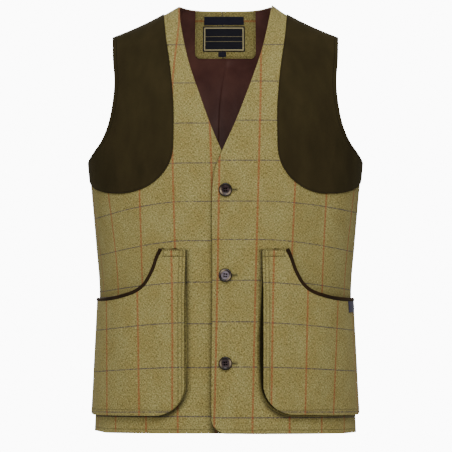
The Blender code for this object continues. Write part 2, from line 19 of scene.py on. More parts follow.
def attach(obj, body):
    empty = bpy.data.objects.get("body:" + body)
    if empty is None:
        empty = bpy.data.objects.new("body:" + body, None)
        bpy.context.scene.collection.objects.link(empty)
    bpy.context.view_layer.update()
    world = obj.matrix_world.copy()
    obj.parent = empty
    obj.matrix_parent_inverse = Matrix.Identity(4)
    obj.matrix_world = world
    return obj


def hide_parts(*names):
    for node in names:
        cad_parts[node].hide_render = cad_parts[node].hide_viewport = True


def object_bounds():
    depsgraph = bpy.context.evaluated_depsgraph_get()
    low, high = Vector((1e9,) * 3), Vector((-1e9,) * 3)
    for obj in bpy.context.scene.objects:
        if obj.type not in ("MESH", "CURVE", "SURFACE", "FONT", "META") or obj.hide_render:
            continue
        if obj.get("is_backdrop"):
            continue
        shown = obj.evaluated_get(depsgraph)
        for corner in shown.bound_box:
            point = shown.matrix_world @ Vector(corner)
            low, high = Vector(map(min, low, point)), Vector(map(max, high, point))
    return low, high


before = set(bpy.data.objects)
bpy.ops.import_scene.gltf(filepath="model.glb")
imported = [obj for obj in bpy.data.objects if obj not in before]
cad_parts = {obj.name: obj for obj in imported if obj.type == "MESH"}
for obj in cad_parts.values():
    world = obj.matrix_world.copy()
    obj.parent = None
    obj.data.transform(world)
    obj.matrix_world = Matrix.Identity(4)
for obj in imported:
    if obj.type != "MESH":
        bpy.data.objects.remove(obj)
cad_low, cad_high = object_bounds()
print("solids span", [round(size, 4) for size in cad_high - cad_low])

# %% [markdown]
# ## Places on the cloth
#
# Sizes are in millimetres and become metres when a mesh is finished. X runs to the wearer's left,
# Y to the back, Z up, and the origin lies between the shoulder seams. A place is given as seen
# square from the front: how far across and how high. The form gives the depth. A worn body could
# be sculpted by hand, but a form worked out from a few widths and depths can be asked for a point
# anywhere, and every piece can use the same one.

# %% Sizes of the body
MM = 0.001
FRONT, BACK = -1, 1
WEARER_LEFT, WEARER_RIGHT = 1, -1

HEM = -656.6
HEM_RISE_AT_SIDE = {WEARER_LEFT: 1.0, WEARER_RIGHT: 2.6}
HEM_RISES_FROM = 0.9
LEFT_HANGS, LEFT_HANGS_FROM, LEFT_HANGS_OVER = 0.9, -20.0, 60.0
NECK_HALF = 73.6
NECK_POINT = 26.0
SHOULDER_SLOPE = 0.483
SHOULDER_DIP = 3.2
SHOULDER_TIP_ACROSS = 180.4
BACK_NECK_CENTRE = 18.5
BACK_NECK_CURVE = 4.2
NECK_CROWN = 12.0
UNDERARM = -225.0
FRONT_ROUND, BACK_ROUND = 170.0, 160.0
SQUARENESS = 2.15
SEAM_GAP = 0.3
SEAM_PRESSED = 0.1

# Columns: height, half width, depth of the front, depth of the back
BODY = (
    (-660, 209.8, 124, 112),
    (-560, 205.4, 127, 110),
    (-432, 201.6, 130, 106),
    (-354, 207.4, 132, 107),
    (-278, 214.0, 131, 111),
    (-225, 218.9, 127, 113),
    (-150, 222.6, 117, 112),
    (-75, 223.5, 101, 102),
    (0, 222.0, 83, 85),
    (60, 218.0, 70, 72),
)
# Columns: height, how far across. All edges run from the hem up.
ARMHOLE = (
    (-225.0, 218.9), (-219.0, 216.4), (-209.0, 210.4), (-191.0, 198.2), (-172.0, 189.6),
    (-153.0, 184.0), (-125.0, 179.2), (-95.0, 177.0), (-60.0, 179.6), (-25.6, 180.4),
)
LEFT_FRONT_EDGE = (
    (-660.0, -22.0), (-600.0, -22.6), (-417.0, -20.8), (-275.0, -21.2), (-237.0, -17.2),
    (-205.6, -5.6), (-156.6, 16.6), (-90.1, 42.2), (-37.4, 59.8), (24.6, 73.6),
)
RIGHT_FRONT_EDGE = (
    (-660.0, 21.0), (-300.0, 21.0), (-250.0, 15.0), (-204.3, -5.9), (-163.0, -23.6),
    (-108.0, -43.6), (-60.6, -59.4), (-0.8, -72.0), (24.6, -73.6),
)
FRONT_CORNER_RADIUS = 24.0
FRONT_CORNER_KEPT = 20.4

print("neck point to hem:", NECK_POINT - HEM, "mm")


# %% Curves through tables
def clamp(value, low=0.0, high=1.0):
    return min(max(value, low), high)


def smooth(value):
    value = clamp(value)
    return value * value * (3.0 - 2.0 * value)


def spread(start, end, count, dense_at="even"):
    """Values from start to end in count steps, closer together at one end if asked."""
    values = []
    for step in range(count + 1):
        share = step / count
        if dense_at == "start":
            share = 1.0 - math.cos(share * math.pi / 2)
        values.append(start + (end - start) * share)
    return values


def curve(table, height, column=1):
    """Smooth value of a table's column at a height."""
    height = clamp(height, table[0][0], table[-1][0])
    last = len(table) - 2
    lower = 0
    while lower < last and table[lower + 1][0] <= height:
        lower += 1
    slopes = []
    for i in (lower, lower + 1):
        before, after = table[max(i - 1, 0)], table[min(i + 1, last + 1)]
        slopes.append((after[column] - before[column]) / (after[0] - before[0]))
    span = table[lower + 1][0] - table[lower][0]
    t = (height - table[lower][0]) / span
    start = (1 + 2 * t) * (1 - t) ** 2 * table[lower][column]
    end = t * t * (3 - 2 * t) * table[lower + 1][column]
    return start + end + t * (1 - t) * span * ((1 - t) * slopes[0] - t * slopes[1])


def round_corner(radius, from_side):
    """How far a round corner draws an edge in, at a distance from where the corner starts."""
    inward = max(radius - max(from_side, 0.0), 0.0)
    return radius - math.sqrt(radius**2 - inward**2)


def half_width(height):
    return curve(BODY, height)


def outer_edge(height):
    """Side seam, then the armhole above the underarm."""
    return half_width(height) if height <= UNDERARM else curve(ARMHOLE, height)


def shoulder_line(across):
    """Height of the shoulder seam, which dips a little between the neck and the tip."""
    from_neck = abs(across) - NECK_HALF
    share = clamp(from_neck / (SHOULDER_TIP_ACROSS - NECK_HALF))
    return NECK_POINT - SHOULDER_SLOPE * from_neck - SHOULDER_DIP * math.sin(math.pi * share)


def back_top(across):
    """Shoulder seam, dipping between the neck points to the back neck edge."""
    share = min(abs(across) / NECK_HALF, 1.0)
    neck = BACK_NECK_CENTRE + (NECK_POINT - BACK_NECK_CENTRE) * share**BACK_NECK_CURVE
    return min(neck, shoulder_line(across))


def hem(across):
    towards_side = abs(across) / half_width(HEM) - HEM_RISES_FROM
    rise = HEM_RISE_AT_SIDE[WEARER_LEFT if across > 0 else WEARER_RIGHT]
    rise *= smooth(towards_side / (1.0 - HEM_RISES_FROM))
    return HEM + rise - LEFT_HANGS * smooth((across - LEFT_HANGS_FROM) / LEFT_HANGS_OVER)


def front_edge(table, side):
    """Inner edge of a front, with the round corner at the hem."""

    def edge(height):
        cut = round_corner(FRONT_CORNER_RADIUS, height - HEM)
        return curve(table, height) + side * min(cut, FRONT_CORNER_KEPT)

    return edge


print("under the arms the body is", round(4 * half_width(UNDERARM) / 10) / 100, "m round, flat")

# %% [markdown]
# ## The form and its soft folds
#
# A section across the body is nearly an ellipse. Over the shoulder the depth shrinks towards the
# seam as a quarter circle does. Tweed is stiff, so a worn gilet has no sharp creases, only long
# shallow swells and hollows of uneven length. They could come from a cloth simulation, but a
# fitted, lined coat barely moves, so each one is given as a soft line with a width and a
# height, raised or sunk. They are in the form itself, so that what is sewn on follows them.

# %% Form and folds
FOLD_FADES = 0.25
FOLD_WIDTHS = 3.0
SEAM_HOLDS = 8
HALF_STEPS = 12
# Columns: across and height of one end, of the other end, width, rise
FRONT_FOLDS = (
    (-150, -262, -128, -345, 15, 1.5), (-112, -250, -104, -352, 12, -1.1),
    (-66, -210, -62, -330, 16, 0.9), (-44, -300, -46, -600, 11, 0.8),
    (36, -235, 34, -470, 9, -0.8), (118, -232, 100, -346, 14, 1.2),
    (158, -268, 140, -380, 13, -1.2), (176, -300, 168, -420, 11, 1.3),
    (-178, -285, -176, -408, 12, 1.2), (-122, -196, -98, -226, 8, -1.6),
    (-140, -150, -118, -205, 14, 1.1), (150, -120, 126, -206, 13, 1.2),
    (128, -60, 120, -140, 15, -1.0), (-134, -70, -128, -150, 16, -0.9),
    (-121.6, -217.8, -114.1, -232.8, 4, -0.9), (165, -196, 168, -222, 5, -0.6),
    (70, -470, 60, -600, 18, 1.1), (10, -560, 14, -650, 22, 1.4),
)
BACK_FOLDS = (
    (-118, -80, -96, -280, 20, 2.2), (108, -96, 92, -252, 17, 2.0),
    (-150, -190, -120, -330, 15, -1.8), (156, -176, 122, -352, 16, -2.0),
    (-60, -330, -74, -600, 22, 2.4), (66, -372, 84, -625, 19, 2.1),
    (0, -120, 4, -410, 24, -2.2), (-168, -360, -180, -560, 14, -1.6),
    (170, -300, 176, -505, 15, -1.9), (-20, -480, -8, -650, 16, 1.3),
    (128, -470, 134, -640, 17, -1.7), (-128, -520, -122, -650, 15, -1.5),
)
FOLDS = {FRONT: FRONT_FOLDS, BACK: BACK_FOLDS}

print(len(FRONT_FOLDS + BACK_FOLDS), "folds placed by hand")

# %% Points of the form
def form_top(across):
    """Where front and back meet: the shoulder seam, rounded over inside the neck."""
    if abs(across) >= NECK_HALF:
        return shoulder_line(across)
    inside = 1.0 - (across / NECK_HALF) ** 2
    return NECK_POINT + SHOULDER_SLOPE * NECK_HALF / 2 * inside + NECK_CROWN * inside**2


def angle_at(across, height):
    """How far round from the centre line a place lies: 90 degrees is the side seam."""
    return math.asin(clamp(across / half_width(height), -1.0, 1.0))


def form(angle, height, face):
    width = half_width(height)
    across = width * math.sin(angle)
    section = max(1.0 - abs(math.sin(angle)) ** SQUARENESS, 0.0) ** (1.0 / SQUARENESS)
    fall = max(form_top(across) - height, 0.0)
    share = 1.0 - min(fall / (FRONT_ROUND if face == FRONT else BACK_ROUND), 1.0)
    depth = curve(BODY, height, 2 if face == FRONT else 3)
    depth *= section * math.sqrt(1.0 - share * share)
    return Vector((across, face * (SEAM_GAP / 2 + depth), height))


def fold_rise(folds, across, height):
    """Sum of the soft folds at a place. Each fades along its own length and to its sides."""
    rise = 0.0
    for x0, z0, x1, z1, width, high in folds:
        along_x, along_z = x1 - x0, z1 - z0
        length = along_x * along_x + along_z * along_z
        share = ((across - x0) * along_x + (height - z0) * along_z) / length
        if not -FOLD_FADES < share < 1.0 + FOLD_FADES:
            continue
        off = (across - x0 - share * along_x) ** 2 + (height - z0 - share * along_z) ** 2
        if off < (FOLD_WIDTHS * width) ** 2:
            fade = smooth((share + FOLD_FADES) / (2 * FOLD_FADES))
            fade *= smooth((1.0 + FOLD_FADES - share) / (2 * FOLD_FADES))
            rise += high * fade * math.exp(-off / (width * width))
    return rise


def outward(angle, height, face):
    """Direction that points out of the cloth."""
    step = math.radians(1.0)
    low, high = max(angle - step, -math.pi / 2), min(angle + step, math.pi / 2)
    round_it = form(high, height, face) - form(low, height, face)
    up_it = form(angle, height + 1.0, face) - form(angle, height - 3.0, face)
    return (round_it.cross(up_it) * -face).normalized()


def cloth_spot(across, height, face, lift=0.0):
    """A point of the garment, moved out of the cloth by lift, and the way out from it."""
    angle = angle_at(across, height)
    out = outward(angle, height, face)
    off_seam = 1.0 - math.sin(abs(angle)) ** SEAM_HOLDS
    rise = lift + off_seam * fold_rise(FOLDS[face], across, height)
    return form(angle, height, face) + out * rise, out


def cloth_point(across, height, face, lift=0.0):
    return cloth_spot(across, height, face, lift)[0]


def reach(across, height, face):
    """Millimetres of cloth for each millimetre across: over 1 where the body turns away."""
    before = form(angle_at(across - 1.0, height), height, face)
    after = form(angle_at(across + 1.0, height), height, face)
    return max((after - before).length / 2, 1.0)


def panel_place(column, row, inner, outer, bottom, top):
    """Across and height of a place in a piece whose edges are four curves.

    The four edges depend on each other, so the place is closed in on in half steps.
    """

    def across_at(height):
        low = angle_at(inner(height), height)
        high = angle_at(outer(height), height)
        return half_width(height) * math.sin(low + (high - low) * column)

    height = bottom(0.0) + (top(0.0) - bottom(0.0)) * row
    for _ in range(HALF_STEPS):
        across = across_at(height)
        height += (bottom(across) + (top(across) - bottom(across)) * row - height) / 2
    return across_at(height), height


print("on the chest the front stands", round(-cloth_point(0.0, -200.0, FRONT).y), "mm out")

# %% [markdown]
# ## The check in the cloth
#
# A windowpane check is woven in: every 63 mm or so two red warp ends run up the cloth and two
# blue-grey picks run across it. Where the cloth turns away at the sides the lines look closer
# together, and where it is pulled round the body they dip. A picture laid over the whole coat
# could not do that on overlapping pieces. Instead each piece says where its own lines run, and
# its map turns every place into millimetres of cloth. The weave then follows the same map.

# %% Where the lines of the check run
CHECK_ACROSS = 63.0
CHECK_UP = 64.0
LINE_HEIGHTS = (-640.0, -420.0, -220.0, -100.0, 0.0)
# Columns: line number, how far across at each of those heights
RED_LINES = {
    "front_left": (
        (0, -17.8, -12.8, -9.6, -8.0, -6.4),
        (1, 43.2, 48.0, 53.6, 56.4, 56.8),
        (2, 102.4, 104.6, 112.8, 115.5, 117.0),
        (3, 153.9, 154.7, 163.8, 167.5, 170.0),
        (4, 190.0, 190.5, 210.5, 213.0, 215.0),
    ),
    "front_right": (
        (-4, -175.5, -171.5, -192.5, -196.0, -199.0),
        (-3, -126.5, -132.5, -138.0, -140.0, -142.0),
        (-2, -76.0, -79.0, -84.2, -84.4, -73.6),
        (-1, -15.0, -16.5, -22.8, -27.5, -31.0),
    ),
    "pocket_left": (
        (1, 72.8, 76.5, 81.0, 83.0, 85.0),
        (2, 127.2, 132.0, 137.5, 140.0, 142.0),
        (3, 171.8, 181.2, 188.0, 190.0, 190.0),
        (4, 212.5, 202.8, 213.0, 216.0, 216.0),
    ),
    "pocket_right": (
        (-3, -189.2, -190.6, -197.0, -200.0, -200.0),
        (-2, -137.4, -140.9, -150.0, -155.0, -160.0),
        (-1, -84.8, -85.2, -91.0, -94.0, -96.0),
    ),
}
POCKET_SWELL = 10.0
# Heights of the blue lines. The two fronts don't quite meet at the placket.
BLUE_LINES = {
    "front_left": (-631, -550, -477.8, -411.6, -346.6, -285.4, -220.2, -156.4, -94, -35.5),
    "front_right": (-629, -551, -481, -414.6, -348.4, -285.8, -224.6, -161, -97, -36),
    "back": (-631, -550, -479, -413, -347, -286, -222, -159, -95, -36),
    "pocket_left": (-621.6, -550.2, -479.2, -415, -349),
}
BLUE_LINES["pocket_right"] = BLUE_LINES["pocket_left"]
# Columns: height, how far the lines have dipped at the wearer's right side, and at the left
DIP = (
    (-640, 0, 0), (-550, 9, 8), (-479, 14, 14), (-414, 19, 18),
    (-347, 29, 22), (-286, 28, 18), (-222, 19, 9), (-100, 0, 0),
)
DIP_STARTS_ACROSS = 60.0
DIP_POWER = 1.7


def line_number(lines, place):
    """Number of the line at a place, with parts between two lines, from (place, number) rows."""
    upper = 1
    while upper < len(lines) - 1 and lines[upper][0] < place:
        upper += 1
    (low, first), (high, second) = lines[upper - 1], lines[upper]
    return first + (second - first) * (place - low) / (high - low)


def threads_across(panel, across, height):
    """Millimetres of cloth across, counted from the panel's line 0."""
    width = half_width(height) + (POCKET_SWELL if panel.startswith("pocket") else 0.0)
    lines = []
    for number, *places in RED_LINES[panel]:
        place = curve(tuple(zip(LINE_HEIGHTS, places)), height)
        lines.append((math.asin(clamp(place / width, -1.0, 1.0)), number))
    return CHECK_ACROSS * line_number(lines, math.asin(clamp(across / width, -1.0, 1.0)))


def threads_up(panel, across, height):
    """Millimetres of cloth up, counted from the panel's highest blue line."""
    levels = BLUE_LINES[panel]
    round_it = max(abs(across) - DIP_STARTS_ACROSS, 0.0) / (half_width(height) - DIP_STARTS_ACROSS)
    dip = curve(DIP, height, 2 if across > 0 else 1) * min(round_it, 1.0) ** DIP_POWER
    lines = [(level, i + 1 - len(levels)) for i, level in enumerate(levels)]
    return CHECK_UP * line_number(lines, height + dip)


ARC_HEIGHT = -300.0
back_arc = [0.0]
for degree in range(90):
    here = form(math.radians(degree), ARC_HEIGHT, BACK)
    there = form(math.radians(degree + 1), ARC_HEIGHT, BACK)
    back_arc.append(back_arc[-1] + (there - here).length)


def threads_round_back(across, height):
    """Millimetres of cloth from the centre back, measured round the body."""
    degrees = math.degrees(abs(angle_at(across, height)))
    whole = min(int(degrees), 89)
    arc = back_arc[whole] + (back_arc[whole + 1] - back_arc[whole]) * (degrees - whole)
    return math.copysign(arc, across) + CHECK_ACROSS / 2


print("the back is", round(2 * back_arc[-1]), "mm round from side seam to side seam")

# %% [markdown]
# ## Colours and nodes
#
# Colours are written as hex values, as a painter's program shows them, and turned to the linear
# values that Blender's shaders use. One small function adds any node: it sets the node's own
# settings, then its inputs, and links those inputs that are given as another node. A piece says
# where its rows of stitches run, so that the cloth can be drawn in along them, and darkened there
# with painted shade.


# %% Helpers for materials
# Settings that many nodes share. A Mix node's inputs are 0 the factor, 6 and 7 the two colours.
COLOUR, DYED = {"data_type": "RGBA"}, {"data_type": "RGBA", "blend_type": "MULTIPLY"}
SOFT = {"interpolation_type": "SMOOTHSTEP"}
TIMES, MINUS = {"operation": "MULTIPLY"}, {"operation": "SUBTRACT"}
ABSOLUTE, LARGER = {"operation": "ABSOLUTE"}, {"operation": "MAXIMUM"}
TIMES_PLUS = {"operation": "MULTIPLY_ADD"}
TWIN_ROWS_APART = 5.6
# Columns: where the attribute holds the distance, of how many millimetres, depth of the groove
ROW_KINDS = ((0, TWIN_ROWS_APART / 2, 0.8), (1, 0.0, 1.0), (2, 0.0, 0.65))


def linear(hex_colour):
    """Linear colour of an sRGB hex value such as #918551."""
    parts = [int(hex_colour[i : i + 2], 16) / 255 for i in (1, 3, 5)]
    parts = [p / 12.92 if p <= 0.04045 else ((p + 0.055) / 1.055) ** 2.4 for p in parts]
    return (*parts, 1.0)


def add(tree, kind, settings=None, inputs=None):
    """Adds a node. Inputs that are nodes or sockets are linked, and others, or hex, are set."""
    node = tree.nodes.new("ShaderNode" + kind)
    for name, value in (settings or {}).items():
        setattr(node, name, value)
    for socket, value in (inputs or {}).items():
        if isinstance(value, bpy.types.Node):
            value = next(output for output in value.outputs if output.enabled)
        if isinstance(value, bpy.types.NodeSocket):
            tree.links.new(value, node.inputs[socket])
        else:
            node.inputs[socket].default_value = linear(value) if isinstance(value, str) else value
    return node


def start_material(name, roughness, **shader_inputs):
    """A material with its own shader, and the tree to add nodes to."""
    made = bpy.data.materials.new(name)
    made.use_nodes = True
    shader = made.node_tree.nodes["Principled BSDF"]
    shader.inputs["Roughness"].default_value = roughness
    for socket, value in shader_inputs.items():
        shader.inputs[socket.replace("_", " ")].default_value = value
    return made, made.node_tree, shader


def finish_material(tree, shader, colour, height, depth):
    """Links the mixed colour, and a bump that rises depth millimetres as height goes 0 to 1."""
    tree.links.new(colour.outputs[2], shader.inputs["Base Color"])
    bump = add(tree, "Bump", None, {"Strength": 1.0, "Distance": depth * MM, "Height": height})
    tree.links.new(bump.outputs[0], shader.inputs["Normal"])


def stitch_groove(tree, half):
    """1 in the groove that a row of stitches pulls into the cloth, or on a painted shadow line, 0
    beside it.

    The attribute holds the distance to the middle of a twin row in X, to a deep row in Y and to
    a shallow one in Z, so the groove stays sharp however coarse the mesh is.
    """
    rows = add(tree, "Attribute", {"attribute_name": "rows"})
    rows = add(tree, "SeparateXYZ", None, {0: rows.outputs[1]})
    deepest = 0.0
    for i, from_middle, depth in ROW_KINDS:
        off = add(tree, "Math", ABSOLUTE, {0: rows.outputs[i]})
        off = add(tree, "Math", MINUS, {0: off, 1: from_middle})
        off = add(tree, "Math", ABSOLUTE, {0: off})
        groove = {"From Min": half, "From Max": half * 0.25, "To Max": depth, "Value": off}
        groove = add(tree, "MapRange", SOFT, groove)
        deepest = add(tree, "Math", LARGER, {0: groove, 1: deepest})
    return deepest


print("helpers for materials ready")

# %% [markdown]
# ## Tweed
#
# Tweed is woven from carded wool whose yarns mix several dyed fibres, so that even plain ground
# shows moss, straw, tan and dark olive specks. The cloth is brushed: it is matt, a little hairy
# at the edges, and has no shine. A photograph of cloth could be mapped on, but it would repeat.
# Here noise at the size of a yarn makes the specks, broader noise makes the cloudiness of the
# dyeing, and a fine diagonal stands for the twill. The real threads are half a millimetre apart,
# too fine to show, so they are drawn two to three times as coarse.
#
# Shade is painted into the colour. Each front says how open it lies, and its colour gets painted
# shade where it lies against a piece over it. In the fold of a bellows pocket the map says how
# deep the cloth lies, and the painted shade goes nearly to black.


# %% Tweed
# Painted shade in a fold: where it starts on the map's second axis, and its span there
FOLD_SHADE_STARTS, FOLD_SHADE_SPAN = 20.0, 10.0
# Columns: size of the noise in millimetres across and up, detail
GRAINS = (
    (1.0, 3.4, 2.0),  # warp
    (3.2, 1.0, 2.0),  # weft
    (30.0, 44.0, 3.0),  # clouds in the dyeing
    (1.7, 3.0, 2.0),  # moss
    (2.0, 3.4, 2.0),  # tan
    (1.4, 1.8, 2.0),  # straw
    (1.4, 2.4, 1.0),  # dark olive
    (2.6, 9.0, 1.0),  # breaks in the blue lines
    (9.0, 2.4, 1.0),  # breaks in the red lines
)
# Columns: output of the noise, value where a speck starts and is full, strength, colour
SPECKS = (
    (0, 0.54, 0.66, 0.40, "#707a36"),
    (1, 0.52, 0.66, 0.26, "#987a44"),
    (0, 0.60, 0.70, 0.45, "#c9bf86"),
    (1, 0.60, 0.70, 0.36, "#3f3b1e"),
)
# Columns: axis of the map, spacing, half width, strength, colour
CHECK_LINES = (
    (1, CHECK_UP, 0.9, 0.9, "#494046"),
    (0, CHECK_ACROSS, 1.9, 0.68, "#903f22"),
)


# A painted_brightness over 1 gives a lighter copy of the tweed: painted light.
def tweed_material(name, painted_brightness=1.0, folded=False):
    made, tree, shader = start_material(
        name,
        0.92,
        Specular_IOR_Level=0.05 if folded else 0.25,
        Sheen_Weight=0.0 if folded else 0.18,
        Sheen_Roughness=0.5,
    )
    shader.inputs["Sheen Tint"].default_value = linear("#d8cf9e")
    weave = add(tree, "UVMap", {"uv_map": "weave"})
    grains = []
    for across, up, detail in GRAINS:
        sized = add(tree, "Mapping", None, {0: weave, 3: (1.0 / across, 1.0 / up, 1.0)})
        noise = {"Vector": sized, "Scale": 1.0, "Detail": detail, "Roughness": 0.6}
        grains.append(add(tree, "TexNoise", None, noise))
    warp, weft, clouds, *specks, blue_breaks, red_breaks = grains

    yarn = add(tree, "Math", {"operation": "ADD"}, {0: warp, 1: weft})
    yarn = add(tree, "MapRange", None, {"Value": yarn, "From Min": 0.80, "From Max": 1.20})
    ground = add(tree, "Mix", COLOUR, {0: yarn, 6: "#5f5629", 7: "#b5a96c"})
    for noise, (output, start, full, strength, colour) in zip(specks, SPECKS):
        share = {"Value": noise.outputs[output], "From Min": start, "From Max": full}
        share = add(tree, "MapRange", None, {**share, "To Max": strength})
        ground = add(tree, "Mix", COLOUR, {0: share, 6: ground, 7: colour})
    cloudy = add(tree, "MapRange", None, {"Value": clouds, "From Min": 0.35, "From Max": 0.65})
    cloudy = add(tree, "Mix", COLOUR, {0: cloudy, 6: "#ece2cc", 7: "#ffffff"})
    ground = add(tree, "Mix", DYED, {0: 0.7, 6: ground, 7: cloudy})

    cloth = add(tree, "SeparateXYZ", None, {0: weave})
    for noise, (axis, apart, half, strength, colour) in zip(
        (blue_breaks, red_breaks), CHECK_LINES
    ):
        off = {0: cloth.outputs[axis], 1: apart / 2}
        off = add(tree, "Math", {"operation": "PINGPONG"}, off)
        line = {"Value": off, "From Min": half * 1.25, "From Max": half * 0.55}
        line = add(tree, "MapRange", SOFT, {**line, "To Max": strength})
        broken = {"Value": noise, "From Min": 0.36, "From Max": 0.56, "To Min": 0.45}
        broken = add(tree, "MapRange", None, broken)
        share = add(tree, "Math", TIMES, {0: line, 1: broken})
        ground = add(tree, "Mix", COLOUR, {0: share, 6: ground, 7: colour})

    # Painted shade: the colour darkens in the grooves of stitch rows and on painted shadow lines.
    groove = stitch_groove(tree, 1.3)
    groove_shade = add(tree, "Math", TIMES, {0: groove, 1: 0.5})
    ground = add(tree, "Mix", COLOUR, {0: groove_shade, 6: ground, 7: "#2c2a12"})
    if folded:
        # Painted shade in the fold: the map's second axis says how deep the cloth lies, and the
        # colour goes nearly to black.
        deep = cloth.outputs[1]
        shade = {"Value": deep, "From Min": FOLD_SHADE_STARTS, "From Max": FOLD_SHADE_STARTS + FOLD_SHADE_SPAN / 2}
        shade = add(tree, "MapRange", None, {**shade, "To Min": 0.72, "To Max": 0.04})
    else:
        # Painted shade: the front's attribute darkens the colour beside a piece that lies over it.
        near = add(tree, "Attribute", {"attribute_name": "clear_of_painted_shade"})
        shade = {"Value": near.outputs[2], "To Min": 0.3 * painted_brightness, "To Max": painted_brightness}
        shade = add(tree, "MapRange", SOFT, shade)
    ground = add(tree, "Mix", DYED, {0: 1.0, 6: ground, 7: shade})

    twill = {"wave_type": "BANDS", "bands_direction": "DIAGONAL"}
    slant = {"Vector": weave, "Scale": 0.26, "Distortion": 1.2, "Detail": 1.0}
    twill = add(tree, "TexWave", twill, slant)
    relief = add(tree, "Math", TIMES, {0: yarn, 1: 0.35})
    relief = add(tree, "Math", TIMES_PLUS, {0: twill, 1: 0.15, 2: relief})
    relief = add(tree, "Math", TIMES_PLUS, {0: groove, 1: -0.6, 2: relief})
    finish_material(tree, shader, ground, relief, 0.6)
    return made


tweed = tweed_material("tweed")
fold_shaded_tweed = tweed_material("tweed_painted_fold_shade", folded=True)
# The facing inside the neck gets a lighter copy of the tweed: painted light.
neck_tweed_painted_lighter = tweed_material("tweed_in_neck", 1.3)
print("tweed: check of", CHECK_ACROSS, "by", CHECK_UP, "mm")

# %% [markdown]
# ## Moleskin and binding
#
# Moleskin is a dense cotton whose face is sheared to a short nap, so it drinks light and only
# brushes up a little paler where it has been stroked. The binding is the same kind of nap in a
# browner shade, and its rounded edge catches a soft light. Hair particles could give a nap, but
# this one is too short to see from the side, so noise drawn out downwards is enough.

# %% Moleskin and binding
PER_METRE = 1000.0


def nap_material(name, deep, pale, roughness, sheen, stroked):
    """Nap brushed downwards in cloudy strokes, of fibre drawn coarse enough to show."""
    made, tree, shader = start_material(
        name, roughness, Specular_IOR_Level=0.12, Sheen_Weight=sheen, Sheen_Roughness=0.45
    )
    shader.inputs["Sheen Tint"].default_value = linear(stroked)
    place = add(tree, "TexCoord").outputs["Object"]
    stroke = (PER_METRE / 26, PER_METRE / 26, PER_METRE / 70)
    strokes = add(tree, "Mapping", None, {0: place, 3: stroke})
    strokes = add(tree, "TexNoise", None, {"Vector": strokes, "Scale": 1.0, "Detail": 3.0})
    fibre = {"Vector": place, "Scale": PER_METRE / 0.9, "Detail": 2.0}
    fibre = add(tree, "TexNoise", None, fibre)
    share = add(tree, "MapRange", None, {"Value": strokes, "From Min": 0.3, "From Max": 0.7})
    colour = add(tree, "Mix", COLOUR, {0: share, 6: deep, 7: pale})
    fine = add(tree, "MapRange", None, {"Value": fibre, "To Min": 0.86, "To Max": 1.14})
    colour = add(tree, "Mix", DYED, {0: 1.0, 6: colour, 7: fine})
    # Painted shade: the colour darkens in the grooves of stitch rows.
    groove = stitch_groove(tree, 0.9)
    groove_shade = add(tree, "Math", TIMES, {0: groove, 1: 0.5})
    colour = add(tree, "Mix", COLOUR, {0: groove_shade, 6: colour, 7: "#15110a"})
    relief = add(tree, "Math", TIMES, {0: fibre, 1: 0.4})
    relief = add(tree, "Math", MINUS, {0: relief, 1: groove})
    finish_material(tree, shader, colour, relief, 0.35)
    return made


moleskin = nap_material("moleskin", "#2a2311", "#342c17", 0.95, 0.10, "#a59a70")
binding = nap_material("binding", "#1c1106", "#2e1e0b", 0.6, 0.14, "#94744a")
print("naps:", moleskin.name, "and", binding.name)

# %% [markdown]
# ## Satin
#
# The lining is a viscose satin: smooth, with fine ribs and a low shine. Painted shade darkens it
# the further down the back it hangs. Its own gloss gives the soft streaks along the pleat. It
# could be made an anisotropic metal-like cloth, but at this size the ribs and the sheen tell the
# same.


# %% Satin
def satin_material():
    """Burgundy-brown viscose satin, with ribs every half millimetre drawn twice as coarse, and
    painted shade lower down.
    """
    made, tree, shader = start_material(
        "satin_lining", 0.42, Specular_IOR_Level=0.4, Sheen_Weight=0.25, Sheen_Roughness=0.35
    )
    shader.inputs["Sheen Tint"].default_value = linear("#a8756a")
    place = add(tree, "TexCoord").outputs["Object"]
    ribs = add(tree, "TexWave", None, {"Vector": place, "Scale": 314.0, "Distortion": 0.6})
    cloudy = {"Vector": place, "Scale": PER_METRE / 45, "Detail": 3.0}
    cloudy = add(tree, "TexNoise", None, cloudy)
    share = add(tree, "MapRange", None, {"Value": cloudy, "From Min": 0.32, "From Max": 0.68})
    colour = add(tree, "Mix", COLOUR, {0: share, 6: "#50312b", 7: "#664239"})
    # Painted shade: the colour darkens from 70 mm to 190 mm below the origin.
    height = add(tree, "SeparateXYZ", None, {0: place}).outputs[2]
    shade = {"From Min": -0.190, "From Max": -0.070, "To Min": 0.42, "Value": height}
    shade = add(tree, "MapRange", None, shade)
    colour = add(tree, "Mix", DYED, {0: 1.0, 6: colour, 7: shade})
    finish_material(tree, shader, colour, ribs.outputs[1], 0.05)
    return made


satin = satin_material()
print("lining:", satin.name)

# %% [markdown]
# ## Woven labels
#
# The labels are woven damask, in which every line follows the threads. The border and the rules
# are therefore drawn from the distance to the label's own edges, and need no picture.

# %% Woven labels
LABEL_BORDER_IN = 2.7


